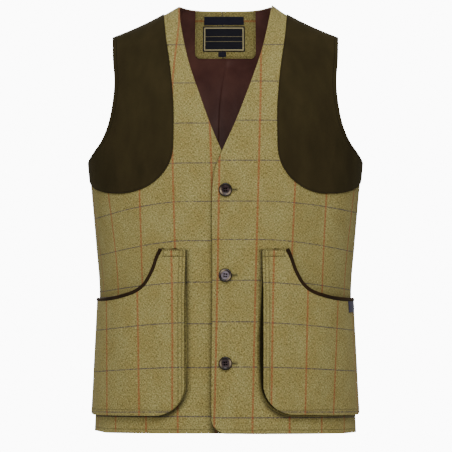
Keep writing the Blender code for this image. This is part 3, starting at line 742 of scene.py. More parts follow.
def label_material(name, cloth, rules):
    """Woven damask. Where it has rules, a gold border and two gold lines are woven in.

    There the attribute holds the distance to a side edge in X, to the top or bottom edge in Y,
    and the height over the middle in Z.
    """
    made, tree, shader = start_material(
        name, 0.62, Specular_IOR_Level=0.35, Sheen_Weight=0.15, Sheen_Roughness=0.4
    )
    place = add(tree, "TexCoord").outputs["Object"]
    picks = {"Vector": place, "Scale": 450.0, "Distortion": 0.4}
    picks = add(tree, "TexWave", {"bands_direction": "Z"}, picks).outputs[1]
    colour = add(tree, "Mix", COLOUR, {0: picks, 6: cloth, 7: "#23222c"})
    if rules:
        edges = add(tree, "Attribute", {"attribute_name": "rows"})
        edges = add(tree, "SeparateXYZ", None, {0: edges.outputs[1]})
        near = {0: edges.outputs[0], 1: edges.outputs[1]}
        near = add(tree, "Math", {"operation": "MINIMUM"}, near)
        rule = add(tree, "Math", ABSOLUTE, {0: edges.outputs[2]})
        lines = []
        for value, at, half, amount in ((near, LABEL_BORDER_IN, 1.0, 1.0), (rule, 4.0, 0.4, 0.5)):
            off = add(tree, "Math", MINUS, {0: value, 1: at})
            off = add(tree, "Math", ABSOLUTE, {0: off})
            limits = {"Value": off, "From Min": half, "From Max": half * 0.6, "To Max": amount}
            lines.append(add(tree, "MapRange", None, limits))
        inside = {0: near, 1: LABEL_BORDER_IN}
        inside = add(tree, "Math", {"operation": "GREATER_THAN"}, inside)
        drawn = add(tree, "Math", TIMES, {0: lines[1], 1: inside})
        drawn = add(tree, "Math", LARGER, {0: drawn, 1: lines[0]})
        colour = add(tree, "Mix", COLOUR, {0: drawn, 6: colour, 7: "#d9ca94"})
    finish_material(tree, shader, colour, picks, 0.08)
    return made


bordered_label = label_material("woven_label", "#11131c", True)
plain_label = label_material("woven_strip", "#15142b", False)
tab_label = label_material("woven_tab", "#251a4a", False)
print("labels:", bordered_label.name, plain_label.name, tab_label.name)

# %% [markdown]
# ## Horn and thread
#
# Horn is polished, with paler streaks that run through it. The raised rim of each button has a
# painted highlight on two sides, and its middle a painted reflection. The streaks are noise drawn
# out in one direction, because horn grows in layers. Thread is twisted, and has a little sheen.


# %% Horn and thread
def horn_material():
    """Polished buffalo horn: dark, with paler streaks, a painted reflection in the middle and a
    painted highlight at the rim.

    The attribute holds the distance from the button's middle in X, how much painted reflection
    lightens the middle in Y, and how much painted highlight the rim has, which changes round the
    button, in Z.
    """
    made, tree, shader = start_material(
        "horn", 0.32, Specular_IOR_Level=0.2, Coat_Weight=0.05, Coat_Roughness=0.2
    )
    turned = add(tree, "Attribute", {"attribute_name": "turned"})
    turned = add(tree, "SeparateXYZ", None, {0: turned.outputs[1]})
    place = add(tree, "TexCoord").outputs["Object"]
    streak = (PER_METRE / 9, PER_METRE / 5, PER_METRE / 2.6)
    streaks = add(tree, "Mapping", None, {0: place, 3: streak})
    streaks = {"Vector": streaks, "Scale": 1.0, "Detail": 4.0, "Distortion": 0.8}
    streaks = add(tree, "TexNoise", None, streaks)
    share = add(tree, "MapRange", None, {"Value": streaks, "From Min": 0.42, "From Max": 0.7})
    dark = add(tree, "Mix", COLOUR, {0: share, 6: "#1c1110", 7: "#4a3634"})
    # The pale colour is painted reflection in the middle and painted highlight on the rim.
    pale = add(tree, "Mix", COLOUR, {0: share, 6: "#6a6067", 7: "#8b8089"})
    colour = add(tree, "Mix", COLOUR, {0: turned.outputs[1], 6: dark, 7: pale})
    off_rim = add(tree, "Math", MINUS, {0: turned.outputs[0], 1: 8.0})
    off_rim = add(tree, "Math", ABSOLUTE, {0: off_rim})
    band = add(tree, "MapRange", None, {"Value": off_rim, "From Min": 1.7, "From Max": 1.0})
    colour = add(tree, "Mix", COLOUR, {0: band, 6: colour, 7: "#1a110b"})
    uneven = add(tree, "MapRange", None, {"Value": share, "To Min": 0.55})
    # Painted highlight: pale patches on the rim, uneven with the streaks.
    rim = add(tree, "Math", TIMES, {0: band, 1: turned.outputs[2]})
    rim = add(tree, "Math", TIMES, {0: rim, 1: uneven})
    colour = add(tree, "Mix", COLOUR, {0: rim, 6: colour, 7: "#c4ae90"})
    outer = {"Value": turned.outputs[0], "From Min": 9.2, "From Max": 9.7}
    outer = add(tree, "MapRange", None, outer)
    colour = add(tree, "Mix", COLOUR, {0: outer, 6: colour, 7: "#0d0806"})
    finish_material(tree, shader, colour, streaks, 0.03)
    return made


def thread_material(name, hex_colour, sheen=0.2):
    """Polyester sewing thread: twisted, so it is slightly uneven and a little bright."""
    made, tree, shader = start_material(
        name, 0.6, Specular_IOR_Level=0.35 * sheen / 0.2, Sheen_Weight=sheen, Sheen_Roughness=0.4
    )
    place = add(tree, "TexCoord").outputs["Object"]
    twist = {"Vector": place, "Scale": PER_METRE / 0.5, "Detail": 1.0}
    twist = add(tree, "TexNoise", None, twist)
    fine = add(tree, "MapRange", None, {"Value": twist, "To Min": 0.8, "To Max": 1.2})
    colour = add(tree, "Mix", DYED, {0: 1.0, 6: hex_colour, 7: fine})
    finish_material(tree, shader, colour, twist, 0.08)
    return made


horn = horn_material()
olive_thread = thread_material("olive_thread", "#7a7140")
dark_thread = thread_material("dark_thread", "#080504", 0.05)
print("finishes:", ", ".join(sorted(material.name for material in bpy.data.materials)))

# %% [markdown]
# ## Cutting a piece of cloth
#
# Each piece starts as a flat grid. Every point of the grid is moved to its place on the form, the
# sheet gets its thickness with bmesh's solidify, and the rim is bevelled, because a turned edge
# of wool is round and never sharp. The grid could be subdivided with a modifier instead, but then
# the edges of pieces that meet at a seam would draw back from each other. A piece that ends in a
# seam is kept to its own side of it, and the middle of its rim is pressed against the other piece,
# as the stitches of a seam do, so that no light comes through.


# %% A shell of cloth
FAR = 99.0  # a distance at which no row shows
NO_ROWS = Vector((FAR, FAR, FAR))
CLOTH_STEP = 4.6
SEAM_STRIP = 1.2
RIM_TURNS = 0.9
SATIN_FROM = 0.5
LOOKS_IN = -0.05
CREASE = math.radians(70.0)


def spot(point, across=0.0, up=0.0, rows=NO_ROWS, lined=0.0, clear_of_painted_shade=1.0):
    """What a piece says of one place: the point, its threads, its stitch rows and painted shadow
    lines, whether satin lines it, and how clear it is of painted shade, from 0 against a piece
    over it to
    1 well away."""
    return point, Vector((across, up, lined)), rows, clear_of_painted_shade


def lay_grid(columns, rows, place):
    """A grid with each point at its place, and what the piece says of it kept on the point."""
    mesh = bmesh.new()
    across, up = len(columns) - 1, len(rows) - 1
    bmesh.ops.create_grid(mesh, x_segments=across, y_segments=up, size=0.5)
    threads = mesh.verts.layers.float_vector.new("threads")
    seams = mesh.verts.layers.float_vector.new("rows")
    painted_shade_layer = mesh.verts.layers.float.new("clear_of_painted_shade")
    for vertex in mesh.verts:
        i, j = round((vertex.co.x + 0.5) * across), round((vertex.co.y + 0.5) * up)
        spotted = place(columns[i], rows[j])
        vertex.co, vertex[threads], vertex[seams], vertex[painted_shade_layer] = spotted
    mesh.normal_update()
    return mesh


print("a sheet is laid as a grid whose steps are about", CLOTH_STEP, "mm")


# %% Thickness, rim and seams
def faces_out(face, centre):
    """Over 0 if a face looks away from the centre, or from the body's axis if there is none."""
    middle = face.calc_center_median()
    return face.normal.dot((middle - (centre or Vector((0.0, 0.0, middle.z)))).normalized())


def thicken(mesh, thickness):
    """Gives the sheet its wall, on the inside."""
    outside = [(vertex.co.copy(), vertex.normal.copy()) for vertex in mesh.verts]
    twin = mesh.verts.layers.int.new("twin")
    for i, vertex in enumerate(mesh.verts):
        vertex[twin] = i
    bmesh.ops.solidify(mesh, geom=mesh.faces[:], thickness=thickness)
    for vertex in mesh.verts:  # solidify overshoots where the grid is sheared
        point, out = outside[vertex[twin]]
        if (vertex.co - point).length > thickness / 2:
            vertex.co = point - out * thickness


def keep_on_side(mesh, face):
    """Keeps a piece that ends at the side and shoulder seams to its own side of them."""
    for vertex in mesh.verts:
        clear = max(abs(vertex.co.y), SEAM_GAP / 2)
        vertex.co.y = face * (clear if vertex.co.y * face > 0 else SEAM_GAP / 2)


def round_rim(mesh, offset):
    mesh.normal_update()
    rim = [edge for edge in mesh.edges if edge.calc_face_angle(0.0) > RIM_TURNS]
    bmesh.ops.bevel(
        mesh, geom=rim, offset=offset, segments=2, profile=0.5, material=-1, loop_slide=False,
        affect="EDGES",
    )


def press_seam(mesh, face):
    """Presses the middle of a seam edge against the piece that it is sewn to."""
    for vertex in mesh.verts:
        if abs(vertex.co.y) < SEAM_GAP / 2 + 0.02:
            vertex.co.y = -face * SEAM_PRESSED


def map_weave(mesh, centre):
    """Turns the threads into the map, and finds the places that satin lines on the inside."""
    mesh.normal_update()
    threads = mesh.verts.layers.float_vector["threads"]
    weave = mesh.loops.layers.uv.new("weave")
    for face in mesh.faces:
        lined = sum(vertex[threads].z for vertex in face.verts) / len(face.verts)
        if lined > SATIN_FROM and faces_out(face, centre) < LOOKS_IN:
            face.material_index = 1
        for loop in face.loops:
            loop[weave].uv = loop.vert[threads].xy


def shell(columns, rows, place, thickness, centre=None, keep_to=None, round_edge=0.6):
    """A sheet laid by place(column, row), with its wall inside and a rounded rim."""
    mesh = lay_grid(columns, rows, place)
    if sum(faces_out(face, centre) * face.calc_area() for face in mesh.faces) < 0.0:
        bmesh.ops.reverse_faces(mesh, faces=mesh.faces[:])
        mesh.normal_update()
    thicken(mesh, thickness)
    if keep_to:
        keep_on_side(mesh, keep_to)
    round_rim(mesh, min(round_edge, thickness * 0.4))
    if keep_to:
        press_seam(mesh, keep_to)
    map_weave(mesh, centre)
    return mesh


print("walls lie inside, and rims turn over", RIM_TURNS, "radians")


# %% A finished piece
def finished(name, mesh):
    """The data of a mesh that nothing more is done to."""
    data = bpy.data.meshes.new(name)
    mesh.to_mesh(data)
    mesh.free()
    return data


def in_scene(name, data):
    made = bpy.data.objects.new(name, data)
    bpy.context.scene.collection.objects.link(made)
    return made


def show(name, mesh, finishes, replaced=()):
    """Makes the finished mesh an object that rides on the body, in place of a plain solid."""
    bmesh.ops.scale(mesh, verts=mesh.verts[:], vec=(MM, MM, MM))
    data = finished(name, mesh)
    for finish in finishes:
        data.materials.append(finish)
    data.shade_smooth()
    data.set_sharp_from_angle(angle=CREASE)
    made = in_scene(name, data)
    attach(made, "root")
    if replaced:
        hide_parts(*replaced)
    return made


def cloth_area(made):
    """Square metres of one side of a closed shell."""
    return sum(polygon.area for polygon in made.data.polygons) / 2


def shares(length):
    """Shares of a length, about a step apart and with a narrow strip along both seams."""
    inner = spread(SEAM_STRIP, length - SEAM_STRIP, round(length / CLOTH_STEP))
    return [value / length for value in [0.0, *inner, length]]


def lean(edge, height):
    """Millimetres along an edge for each millimetre that it climbs."""
    return math.hypot(1.0, (edge(height + 2.0) - edge(height - 2.0)) / 4.0)


print("ready to cut cloth")

# %% [markdown]
# ## Outline of the pockets
#
# The pockets come later, but the cloth that they are sewn to has to know where they lie: it is
# drawn in along their edges with a painted shadow line, and beside them its colour gets painted
# shade.

# %% Outline of the pockets
POCKET_INNER = {WEARER_LEFT: 58.8, WEARER_RIGHT: 63.6}
POCKET_TOP, POCKET_BOTTOM = -362.7, -628.6
POCKET_CORNER_RADIUS = 48.0
POCKET_TOP_WIDTH = 37.0
MOUTH_FALL = 84.0
# Columns: how far in from the pocket's inner edge, how far below its top
MOUTH = (
    (POCKET_TOP_WIDTH, 0.0), (39.5, 5.0), (43.5, 15.0), (47.2, 29.0), (52.2, 42.0),
    (58.7, 54.8), (67.3, 64.5), (77.9, 71.1), (90.0, 75.6), (101.0, 78.9), (114.0, 81.4),
    (131.0, 83.2), (150.0, MOUTH_FALL),
)

print("the mouths fall", MOUTH_FALL, "mm")

# %% [markdown]
# ## Two fronts
#
# The wearer's left front lies on top and carries the buttonholes. Its edge is turned over a
# facing, so it is thicker there and stands a little proud of the front below. The right front
# runs on under it. Inside, both are faced with tweed along the edge and hem, and lined with satin
# beyond. Rows of stitching hold the edge and the hem, and the hem's row shows as a narrow groove.

# %% Fronts
TWEED = 2.2
TUCK_GAP = 1.0
TUCK_STARTS, TUCK_WIDTH = 32.0, 28.0
EDGE_STANDS = 2.2
EDGE_BAND = 14.0
EDGE_GAPES = 1.2
HEM_ROW = 6.5
EDGE_ROW = 5.5
FACING_WIDE = 64.0
HEM_FACING = 28.0
FRONT_WIDE, FRONT_LONG = 280.0, 640.0
POCKET_SHADOW_LINE_OUT, POCKET_SHADOW_LINE_LONG = 0.7, 60.0
POCKET_TOP_SHADOW_FROM = 8.0
# Painted shade beside the placket: the share left clear right at the edge
SHADE_LEAST = 0.3
# Reach of the painted shade: beside a pocket, below it, and beside the placket by height
SHADE_BESIDE, SHADE_BELOW = 10.0, 4.0
SHADE_AT_PLACKET = ((-660.0, 12.0), (-285.0, 6.0), (-200.0, 4.0))


def nearest_row(*distances):
    return min(distances, key=abs)


def tuck(across, height):
    """How far in the right front lies, where it runs under the left one."""
    over = curve(LEFT_FRONT_EDGE, height)
    return (TWEED + TUCK_GAP + EDGE_GAPES) * smooth((across - over + TUCK_STARTS) / TUCK_WIDTH)


def clear_of_painted_shade(side, across, height):
    """0 against the piece that lies over the front, 1 where the painted shade beside it ends."""
    clear_shares = [1.0]
    if side == WEARER_RIGHT:
        over = curve(LEFT_FRONT_EDGE, height) - across
        share = over / curve(SHADE_AT_PLACKET, height)
        clear_shares.append(SHADE_LEAST + (1.0 - SHADE_LEAST) * share)
    inward = side * across - POCKET_INNER[side]
    if height < POCKET_TOP - (curve(MOUTH, inward) if inward > 0.0 else 0.0):
        beside = POCKET_CORNER_RADIUS - inward
        below = POCKET_BOTTOM + POCKET_CORNER_RADIUS - height
        if beside > 0.0 and below > 0.0:
            out = math.hypot(beside, below)
            reaches = (SHADE_BESIDE * beside + SHADE_BELOW * below) / out
        else:
            out = max(beside, below)
            reaches = SHADE_BESIDE if beside > below else SHADE_BELOW
        clear_shares.append((out - POCKET_CORNER_RADIUS) / reaches)
    return max(min(clear_shares), -1.0)


def make_front(name, side, edge):
    def place(column, row):
        across, height = panel_place(
            column, row, edge, lambda h: side * outer_edge(h), hem, shoulder_line
        )
        from_edge = side * (across - edge(height)) / lean(edge, height)
        above_hem = height - hem(across)
        if side == WEARER_RIGHT:
            lift = -tuck(across, height)
        else:
            lift = EDGE_STANDS * math.exp(-((from_edge / EDGE_BAND) ** 2))
        inward = side * across - POCKET_INNER[side]
        # A painted shadow line, drawn in as a groove too, runs beside the pocket's inner edge and
        # just above its top. Elsewhere Z holds the hem's stitch row.
        pocket_shadow_line, hem_row_or_pocket_shadow = FAR, above_hem - HEM_ROW
        if 0.0 < POCKET_TOP - height < POCKET_SHADOW_LINE_LONG:
            pocket_shadow_line = inward + POCKET_SHADOW_LINE_OUT
        if height > POCKET_TOP - POCKET_TOP_SHADOW_FROM and 0.0 < inward < POCKET_TOP_WIDTH:
            hem_row_or_pocket_shadow = height - POCKET_TOP - POCKET_SHADOW_LINE_OUT
        lined = 1.0 if from_edge > FACING_WIDE and above_hem > HEM_FACING else 0.0
        point = cloth_point(across, height, FRONT, lift)
        return spot(
            point,
            threads_across(name, point.x, point.z),
            threads_up(name, point.x, point.z),
            Vector((FAR, pocket_shadow_line, hem_row_or_pocket_shadow)),
            lined,
            clear_of_painted_shade(side, across, height),
        )

    columns, rows = shares(FRONT_WIDE), shares(FRONT_LONG)
    mesh = shell(columns, rows, place, TWEED, keep_to=FRONT, round_edge=0.8)
    return show(name + "_cloth", mesh, (tweed, satin), (name,))


left_edge = front_edge(LEFT_FRONT_EDGE, WEARER_LEFT)
right_edge = front_edge(RIGHT_FRONT_EDGE, WEARER_RIGHT)
front_left = make_front("front_left", WEARER_LEFT, left_edge)
front_right = make_front("front_right", WEARER_RIGHT, right_edge)
for made in (front_left, front_right):
    print(made.name, "has", round(cloth_area(made), 4), "square metres of cloth")

# %% [markdown]
# ## Back and lining
#
# The back is one piece of tweed. The lining hangs just inside it, sewn to the neck and the
# armholes, and shorter than the cloth so that it never shows below the hem. A pleat down its
# middle lets the shoulders move. Satin is limp, so it has more and softer folds than the tweed.

# %% Back and lining
LAY_GAP = 0.5
LINING_CLOTH = 0.8
LINING_IN = TWEED + LAY_GAP
LINING_ABOVE_HEM = 26.0
ARMHOLE_ROW = 7.0
ARMHOLE_ROW_ENDS = 30.0
BACK_WIDE, BACK_LONG = 480.0, 660.0
PLEAT_LINE = ((-660.0, -4.0), (-240.0, -12.0), (-150.0, -11.0), (-108.0, -7.0), (-56.0, 2.0))
PLEAT_EDGE, PLEAT_WIDTH = 2.0, 26.0
PLEAT_DEPTH = 3.4
PLEAT_OPENS_OVER = 14.0
# Millimetres from the middle, where the lining's columns lie close together
PLEAT_FROM, PLEAT_TO = -17.0, 8.0
LINING_SLACK, LINING_SEWN_OVER = 1.6, 14.0
FACING_BOTTOM = -56.0
LINING_FOLDS = (
    (-26, -70, -34, -190, 9, -1.5), (-46, -62, -66, -220, 12, 1.4),
    (24, -66, 34, -170, 10, -1.4), (50, -64, 72, -240, 13, 1.5),
    (-8, -62, -14, -150, 6, 0.9), (12, -62, 16, -140, 5, 0.8),
    (-70, -10, -96, -130, 10, -1.2), (68, -6, 98, -150, 11, -1.3),
    (-90, -260, -70, -600, 22, 1.6), (84, -240, 66, -590, 20, 1.6),
    (0, -300, 6, -620, 26, -1.4), (-150, -300, -140, -600, 18, -1.5),
    (148, -320, 150, -610, 18, -1.6),
)


def back_place(column, row):
    return panel_place(column, row, lambda h: -outer_edge(h), outer_edge, hem, back_top)


def from_armhole(across, height, face):
    """Millimetres of cloth in from the armhole's edge."""
    in_from_edge = outer_edge(height) - abs(across)
    if height < UNDERARM - 12.0 or in_from_edge > ARMHOLE_ROW_ENDS:
        return FAR
    return in_from_edge * reach(abs(across) - 1.0, height, face) / lean(outer_edge, height)


def back_cloth(column, row):
    across, height = back_place(column, row)
    from_hem = height - hem(across) - HEM_ROW
    row = nearest_row(from_hem, from_armhole(across, height, BACK) - ARMHOLE_ROW)
    return spot(
        cloth_point(across, height, BACK),
        threads_round_back(across, height),
        threads_up("back", across, height),
        Vector((FAR, FAR, row)),
    )


def lining_cloth(column, row):
    across, height = back_place(column, row)
    height = max(height, hem(across) + LINING_ABOVE_HEM)
    below = smooth((FACING_BOTTOM - height) / PLEAT_OPENS_OVER)
    rise = fold_rise(LINING_FOLDS, across, height)
    off_edge = smooth((outer_edge(height) - abs(across)) / LINING_SEWN_OVER)
    off_edge *= smooth((back_top(across) - height) / LINING_SEWN_OVER)
    past = across - curve(PLEAT_LINE, height)
    pleat = PLEAT_DEPTH * below * smooth(past / PLEAT_EDGE) * (1.0 - smooth(past / PLEAT_WIDTH))
    inward = LINING_IN + pleat + (LINING_SLACK - rise) * off_edge
    return spot(cloth_point(across, height, BACK, -inward), across, height)


back_columns, back_rows = shares(BACK_WIDE), shares(BACK_LONG)
mesh = shell(back_columns, back_rows, back_cloth, TWEED, keep_to=BACK, round_edge=0.8)
back = show("back_cloth", mesh, (tweed,), ("back",))

first_row = LINING_ABOVE_HEM / BACK_LONG
pleat_columns = [0.5 + value / BACK_WIDE for value in spread(PLEAT_FROM, PLEAT_TO, 20)]
lining_columns = sorted({round(value, 5) for value in back_columns + pleat_columns})
lining_rows = [first_row] + [value for value in back_rows if value > first_row]
mesh = shell(lining_columns, lining_rows, lining_cloth, LINING_CLOTH, keep_to=BACK, round_edge=0.2)
lining = show("lining_cloth", mesh, (satin,), ("back_lining",))
print("back and lining:", round(cloth_area(back), 4), "and", round(cloth_area(lining), 4))

# %% [markdown]
# ## Shoulder patches
#
# Each patch runs from the shoulder seam down past the armhole and ends in a round corner. It is
# cut to the armhole's edge and sewn over the front, so it is made from the front's own places
# moved out by its thickness. Its lower corner is nearly a quarter ellipse.

# %% Patches
PATCH_CLOTH = 1.2
PATCH_GAP = 0.7
PATCH_CORNER_TOP, PATCH_CORNER_ACROSS = -195.0, 82.8
PATCH_EDGE = (
    (PATCH_CORNER_TOP, PATCH_CORNER_ACROSS), (-160.0, 82.2), (-130.0, 82.6), (-93.0, 85.4),
    (-58.0, 89.4), (-25.0, 94.4), (20.0, 98.8),
)
PATCH_CORNER_SPAN = 80.0
PATCH_BOTTOM = -274.0
PATCH_LOWEST_ACROSS = {WEARER_LEFT: 163.0, WEARER_RIGHT: 171.0}
PATCH_RISE_AT_SIDE = 24.0
PATCH_ROW = 2.2


def patch_bottom(across):
    lowest_across = PATCH_LOWEST_ACROSS[WEARER_LEFT if across > 0 else WEARER_RIGHT]
    across = abs(across)
    if across < lowest_across:
        share = min((lowest_across - across) / (lowest_across - PATCH_CORNER_ACROSS), 1.0)
        return PATCH_CORNER_TOP - (PATCH_CORNER_TOP - PATCH_BOTTOM) * math.sqrt(1.0 - share**2)
    at_side = PATCH_BOTTOM + PATCH_RISE_AT_SIDE
    lowest = angle_at(lowest_across, at_side)
    turned = (angle_at(across, at_side) - lowest) / (math.pi / 2 - lowest)
    return PATCH_BOTTOM + PATCH_RISE_AT_SIDE * turned**2


def make_patch(name, side):
    def inner(height):
        return side * curve(PATCH_EDGE, height)

    def place(column, row):
        across, height = panel_place(
            column, row, inner, lambda h: side * outer_edge(h), patch_bottom, shoulder_line
        )
        from_edge = abs(across) - abs(inner(height))
        if height < PATCH_CORNER_TOP:
            lowest = PATCH_LOWEST_ACROSS[side]
            wide = clamp((lowest - abs(across)) / (lowest - PATCH_CORNER_ACROSS))
            high = (PATCH_CORNER_TOP - height) / (PATCH_CORNER_TOP - PATCH_BOTTOM)
            from_edge = (1.0 - math.hypot(wide, high)) * PATCH_CORNER_SPAN
        row = nearest_row(from_edge - PATCH_ROW, from_armhole(across, height, FRONT) - ARMHOLE_ROW)
        point = cloth_point(across, height, FRONT, PATCH_GAP + PATCH_CLOTH)
        return spot(point, across, height, Vector((FAR, FAR, row)))

    columns = spread(0.0, 0.3, 14, "start") + spread(0.3, 1.0, 26)[1:]
    mesh = shell(columns, spread(0.0, 1.0, 66), place, PATCH_CLOTH, keep_to=FRONT, round_edge=0.4)
    return show(name + "_nap", mesh, (moleskin,), (name,))


patch_left = make_patch("shoulder_patch_left", WEARER_LEFT)
patch_right = make_patch("shoulder_patch_right", WEARER_RIGHT)
print("each patch:", round(cloth_area(patch_left), 4), "square metres")

# %% [markdown]
# ## Bellows pockets
#
# A bellows pocket is a flat bag front joined to the coat by a folded strip, the gusset, that lets
# it swell. The short top is sewn down with two rows in a darker thread, the slanted mouth is
# bound, and the bag front stands off the coat all round its other edges. It fills out in its
# middle and sags a little towards the side, where the mouth gapes. It could be one swollen lump,
# but only a bag with an open mouth and a strip of its own has the gap beside it. The gap is dark
# partly from real shade and partly from painted shade in the gusset and on the front beside it.

# %% Pocket shapes
POCKET_CLOTH = 2.0
GUSSET_CLOTH = 1.5
POCKET_OUTER_ANGLE = math.radians(89.0)
POCKET_SIDE_CORNER = 5.0
# The bottom edge rises this much from the side to the inner corner
POCKET_BOTTOM_RISE = {WEARER_LEFT: 3.6, WEARER_RIGHT: 0.8}
POCKET_SEWN_LIFT = LAY_GAP + POCKET_CLOTH
POCKET_EDGE_STAND, POCKET_SIDE_STAND = 9.0, 2.9
POCKET_FULLNESS = 7.5
POCKET_FLARE, POCKET_FLARES_BELOW = 4.4, 0.62
POCKET_EDGE_STIFF = 8.0
POCKET_MOUTH_BENDS_TO = 74.0
POCKET_TOP_CORNER = 4.0
POCKET_STAND_FALL = 75.0
POCKET_ROW = 6.8
POCKET_TOP_ROW = 10.6
POCKET_BOTTOM_ROW = 9.6
POCKET_FOLDS = (
    (92, -395, 88, -560, 11, 0.9), (118, -420, 112, -600, 13, -0.9),
    (150, -470, 138, -612, 12, 1.1), (176, -470, 168, -560, 9, -1.0),
    (130, -440, 190, -474, 10, 0.8), (96, -600, 170, -608, 9, 0.7),
)
POCKET_FOLDS_SHIFT = {WEARER_LEFT: 2.0, WEARER_RIGHT: -3.0}


class Pocket:
    """Where one bellows pocket's edges run and how far it stands off the front."""

    def __init__(self, name, side):
        self.name, self.side, self.inner = name, side, POCKET_INNER[side]

    def outer(self, height):
        return half_width(height) * math.sin(POCKET_OUTER_ANGLE)

    def top(self, across):
        from_inner = abs(across) - self.inner
        corner = round_corner(POCKET_TOP_CORNER, from_inner)
        return POCKET_TOP - curve(MOUTH, from_inner) - corner

    def bottom(self, across):
        outer = self.outer(POCKET_BOTTOM)
        from_inner, from_outer = abs(across) - self.inner, outer - abs(across)
        level = POCKET_BOTTOM
        level += POCKET_BOTTOM_RISE[self.side] * clamp(from_outer / (outer - self.inner))
        level += round_corner(POCKET_CORNER_RADIUS, from_inner)
        return level + round_corner(POCKET_SIDE_CORNER, from_outer)

    def lift(self, across, height):
        """Height of the bag's outside over the front."""
        start = angle_at(self.inner, height)
        round_it = clamp((abs(angle_at(across, height)) - start) / (POCKET_OUTER_ANGLE - start))
        down_it = (POCKET_TOP - height) / (POCKET_TOP - POCKET_BOTTOM)
        at_side = POCKET_SIDE_STAND + POCKET_FLARE * (down_it - POCKET_FLARES_BELOW)
        stand = POCKET_EDGE_STAND + (at_side - POCKET_EDGE_STAND) * smooth(round_it)
        full = POCKET_FULLNESS * math.sin(math.pi * round_it) * math.sin(math.pi * down_it)
        opened = smooth((POCKET_TOP - height) / POCKET_STAND_FALL)
        shifted = abs(across) + POCKET_FOLDS_SHIFT[self.side]
        soft = fold_rise(POCKET_FOLDS, shifted, height)
        inside = clamp(round_it * POCKET_EDGE_STIFF) * clamp((1.0 - round_it) * POCKET_EDGE_STIFF)
        return POCKET_SEWN_LIFT + stand * opened + max(full, 0.0) + soft * inside

    def spot(self, across, height, above=0.0):
        lift = self.lift(across, height) + above
        return cloth_spot(self.side * abs(across), height, FRONT, lift)

    def columns(self):
        """Column shares, close together at the round corner and where the mouth is steep."""
        angles = [angle_at(self.inner, POCKET_TOP)]
        for width, count in ((POCKET_TOP_WIDTH, 16), (POCKET_MOUTH_BENDS_TO, 20)):
            angle = angle_at(self.inner + width, POCKET_TOP)
            angles += spread(angles[-1], angle, count, "start")[1:]
        angles += spread(angles[-1], POCKET_OUTER_ANGLE, 26)[1:]
        span = POCKET_OUTER_ANGLE - angles[0]
        return [(angle - angles[0]) / span for angle in angles]

    def centre(self):
        """A point behind the bag, which tells its outer side from its inner one."""
        return cloth_point(self.side * 125.0, -520.0, FRONT)

    def along_edge(self, edge):
        """Places along the bag's top or bottom, at its columns."""
        return [
            panel_place(column, 0.0, lambda h: self.inner, self.outer, edge, edge)
            for column in self.columns()
        ]


def bag_front(pocket):
    side = pocket.side

    def place(column, row):
        across, height = panel_place(
            column,
            row,
            lambda h: side * pocket.inner,
            lambda h: side * pocket.outer(h),
            pocket.bottom,
            pocket.top,
        )
        sewn_top = abs(across) < pocket.inner + POCKET_TOP_WIDTH
        below_top = POCKET_TOP - height if sewn_top else FAR
        # The shallow row half a millimetre below the sewn top is a painted shadow line under the
        # top edge.
        rows = (
            abs(across) - pocket.inner - POCKET_ROW,
            below_top - POCKET_TOP_ROW,
            nearest_row(height - POCKET_BOTTOM - POCKET_BOTTOM_ROW, below_top - 0.5),
        )
        point = pocket.spot(across, height)[0]
        return spot(
            point,
            threads_across(pocket.name, point.x, point.z),
            threads_up(pocket.name, point.x, point.z),
            Vector(rows),
        )

    columns, rows = pocket.columns(), spread(0.0, 1.0, 58)
    mesh = shell(columns, rows, place, POCKET_CLOTH, pocket.centre(), round_edge=0.8)
    return show(pocket.name + "_bag", mesh, (tweed,), (pocket.name,))


pockets = (Pocket("pocket_left", WEARER_LEFT), Pocket("pocket_right", WEARER_RIGHT))
bags = [bag_front(pocket) for pocket in pockets]
print("each bag front:", round(cloth_area(bags[0]), 4), "square metres")

# %% [markdown]
# ## Gussets
#
# The gusset is a narrow strip that follows the bag's inner side, round corner, bottom and side.
# Across its width it bows inwards, which is the bellows fold, and its foot runs out a little
# beyond the bag. It shows no check line. Its colour has painted shade, darkest under the bag's
# edge and lighter towards the side seam. It could be pulled out of the bag's own edge, but a
# strip of its own keeps its own thickness and its own weave.

# %% Gussets
GUSSET_STARTS_BELOW_TOP = 10.0
GUSSET_OPENS_OVER = 150.0
GUSSET_FOLD = 2.4
GUSSET_THINNEST = 0.4
# How far the foot runs out beyond the bag, and the share of it that is left below
GUSSET_FOOT = {WEARER_LEFT: 10.0, WEARER_RIGHT: 3.4}
GUSSET_FOOT_BELOW = {WEARER_LEFT: 0.4, WEARER_RIGHT: 0.2}
GUSSET_FOOT_LOW, GUSSET_FOOT_GROWS_OVER = -620.0, 80.0
# How dark the painted shade in each gusset gets, and the share of it left at the side seam
GUSSET_SHADE = {WEARER_LEFT: 1.5, WEARER_RIGHT: 0.7}
GUSSET_SHADE_AT_SIDE = 0.2
GUSSET_SIDE_FROM = 60.0
# Where the gusset is in the check: between two lines, since none shows in the fold
PLAIN_FROM, PLAIN_STEP, PLAIN_WIDTH = 8.0, 4.0, 44.0


